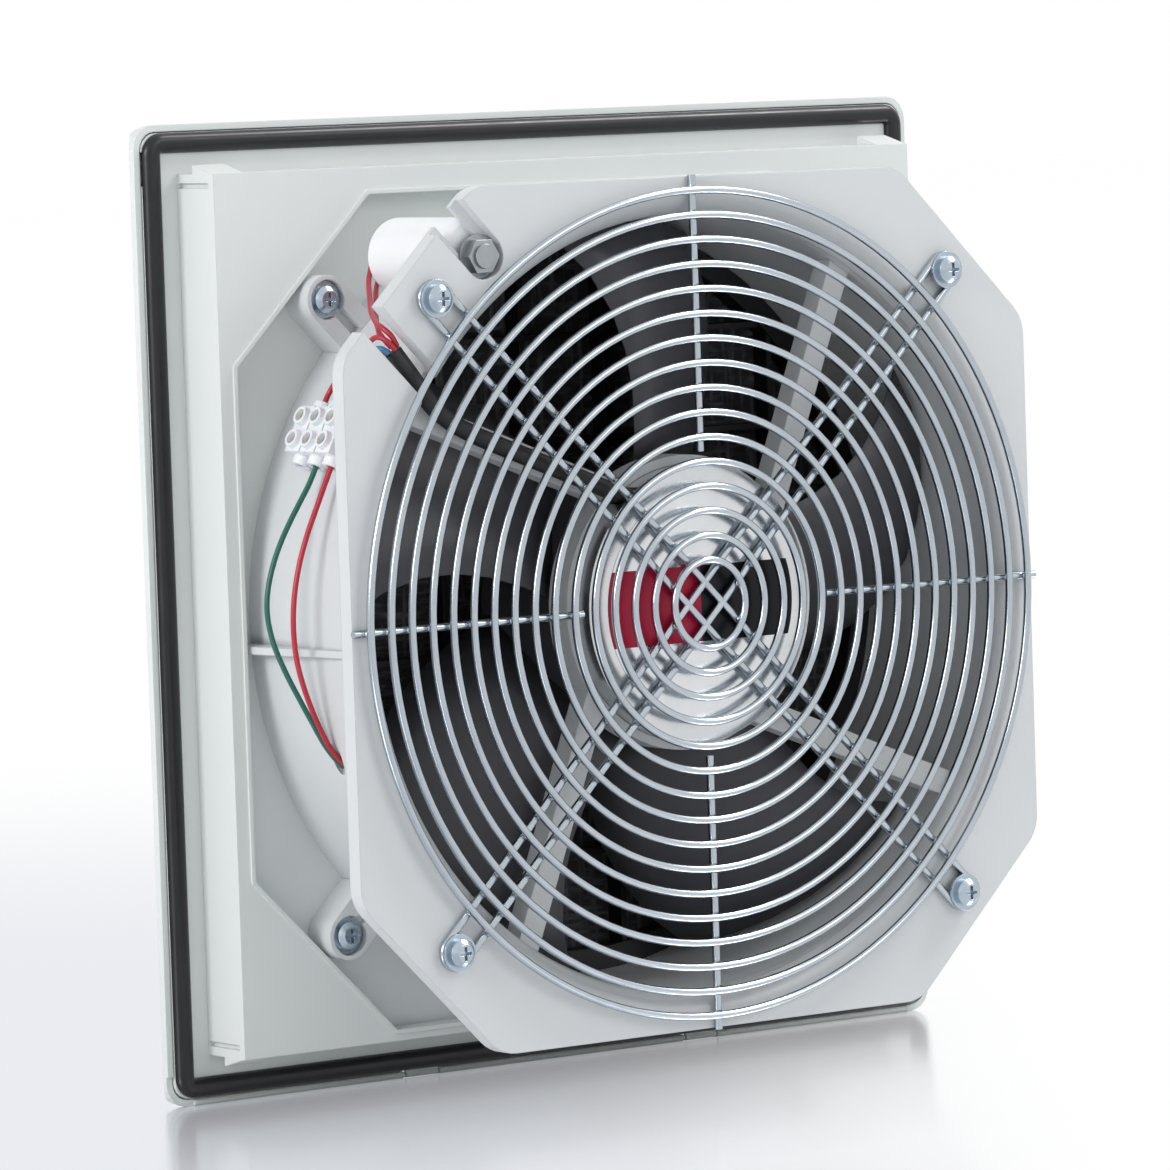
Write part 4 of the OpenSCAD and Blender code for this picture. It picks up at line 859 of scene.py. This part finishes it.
        # Painted shade: the floor's glow darkens to the shade tone towards the camera and its left.
        tone = add_node(
            tree, "ShaderNodeMix",
            {ColourMix.SHARE: shade.outputs[0], ColourMix.FIRST: srgb(WHITE),
             ColourMix.SECOND: srgb(self.floor_shade_tone)}, data_type="RGBA").outputs[ColourMix.RESULT]
        away = add_node(tree, "ShaderNodeSeparateXYZ", {0: place}).outputs["Y"]
        reach = add_node(tree, "ShaderNodeMath", {0: away}, operation="ABSOLUTE").outputs[0]
        share = add_node(
            tree, "ShaderNodeMapRange",
            {"Value": reach, "From Min": 0.0, "From Max": self.mirror_fade,
             "To Min": self.mirror_near, "To Max": self.mirror_far})
        glow = add_node(tree, "ShaderNodeEmission", {"Color": tone})
        mirror = add_node(tree, "ShaderNodeBsdfGlossy", {"Color": tone, "Roughness": self.mirror_roughness})
        seen = add_node(
            tree, "ShaderNodeMixShader", {0: share.outputs["Result"], 1: glow.outputs[0], 2: mirror.outputs[0]})
        matt = add_node(tree, "ShaderNodeBsdfDiffuse", {"Color": self.matt_tone})
        both = add_node(
            tree, "ShaderNodeMixShader",
            {0: self.backdrop_rays(tree), 1: matt.outputs[0], 2: seen.outputs[0]})
        add_node(tree, "ShaderNodeOutputMaterial", {"Surface": both.outputs[0]})
        return made

    def build(self) -> None:
        """Sets the whole stage."""
        bpy.context.scene.view_settings.view_transform = "Standard"
        self.camera()
        self.light()
        self.floor()


@dataclass
class Solids:
    """The finish of each solid that shows as it is."""

    finishes: dict[str, Finish] = field(default_factory=lambda: {
        "front_cover": Finishes.ABS,
        "cover_louvres": Finishes.ABS,
        "hinge_pins": Finishes.GROUND_STEEL,
        "base_frame": Finishes.ABS,
        # Black here is painted shade behind the blades.
        "inlet_grid": Finishes.GRID_PAINTED_SHADE,
        "fan_plate": Finishes.POWDER_COAT,
        "fan_shroud": Finishes.POWDER_COAT,
        "fan_feet": Finishes.POWDER_COAT,
        "fan_struts": Finishes.POWDER_COAT,
        "motor_base": Finishes.MOTOR_ALLOY,
        "motor_label": Finishes.FOIL,
        "stator_core": Finishes.LAMINATION,
        "stator_windings": Finishes.COPPER,
        "ball_bearings": Finishes.GROUND_STEEL,
        "rotor_cup": Finishes.DARK_ENAMEL,
        "rotor_ring": Finishes.LAMINATION,
        "shaft": Finishes.GROUND_STEEL,
        "circlip": Finishes.GROUND_STEEL,
        "guard_rings": Finishes.ZINC_WIRE,
        "guard_spokes": Finishes.ZINC_WIRE,
        "guard_screws": Finishes.ZINC_BLUE,
        "guard_washers": Finishes.ZINC_BLUE,
        "foot_screws": Finishes.ZINC_BLUE,
        "foot_washers": Finishes.ZINC_BLUE,
        "capacitor": Finishes.CAN_WHITE,
        "capacitor_stud": Finishes.ZINC_GREY,
        "capacitor_nut": Finishes.ZINC_GREY,
        "capacitor_washer": Finishes.ZINC_GREY,
        "terminal_block": Finishes.POLYAMIDE,
        "terminal_screws": Finishes.NICKEL,
    })

    def dress(self) -> None:
        """Gives each solid its material."""
        for name, finish in self.finishes.items():
            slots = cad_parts[name].data.materials
            slots.clear()
            slots.append(finish.material())
            LOG.info("%s: %s", name, finish.name)


def main() -> None:
    """Builds the stage, the wiring, the finishes, the gasket, the mat, the blades and the welds, in that order."""
    logging.basicConfig(level=logging.INFO, format="%(name)s %(message)s")
    Studio().build()
    Wiring().build()
    Solids().dress()
    Gasket().build()
    FilterMat().build()
    Impeller().build()
    GuardWelds().build()


if __name__ == "__main__":
    main()
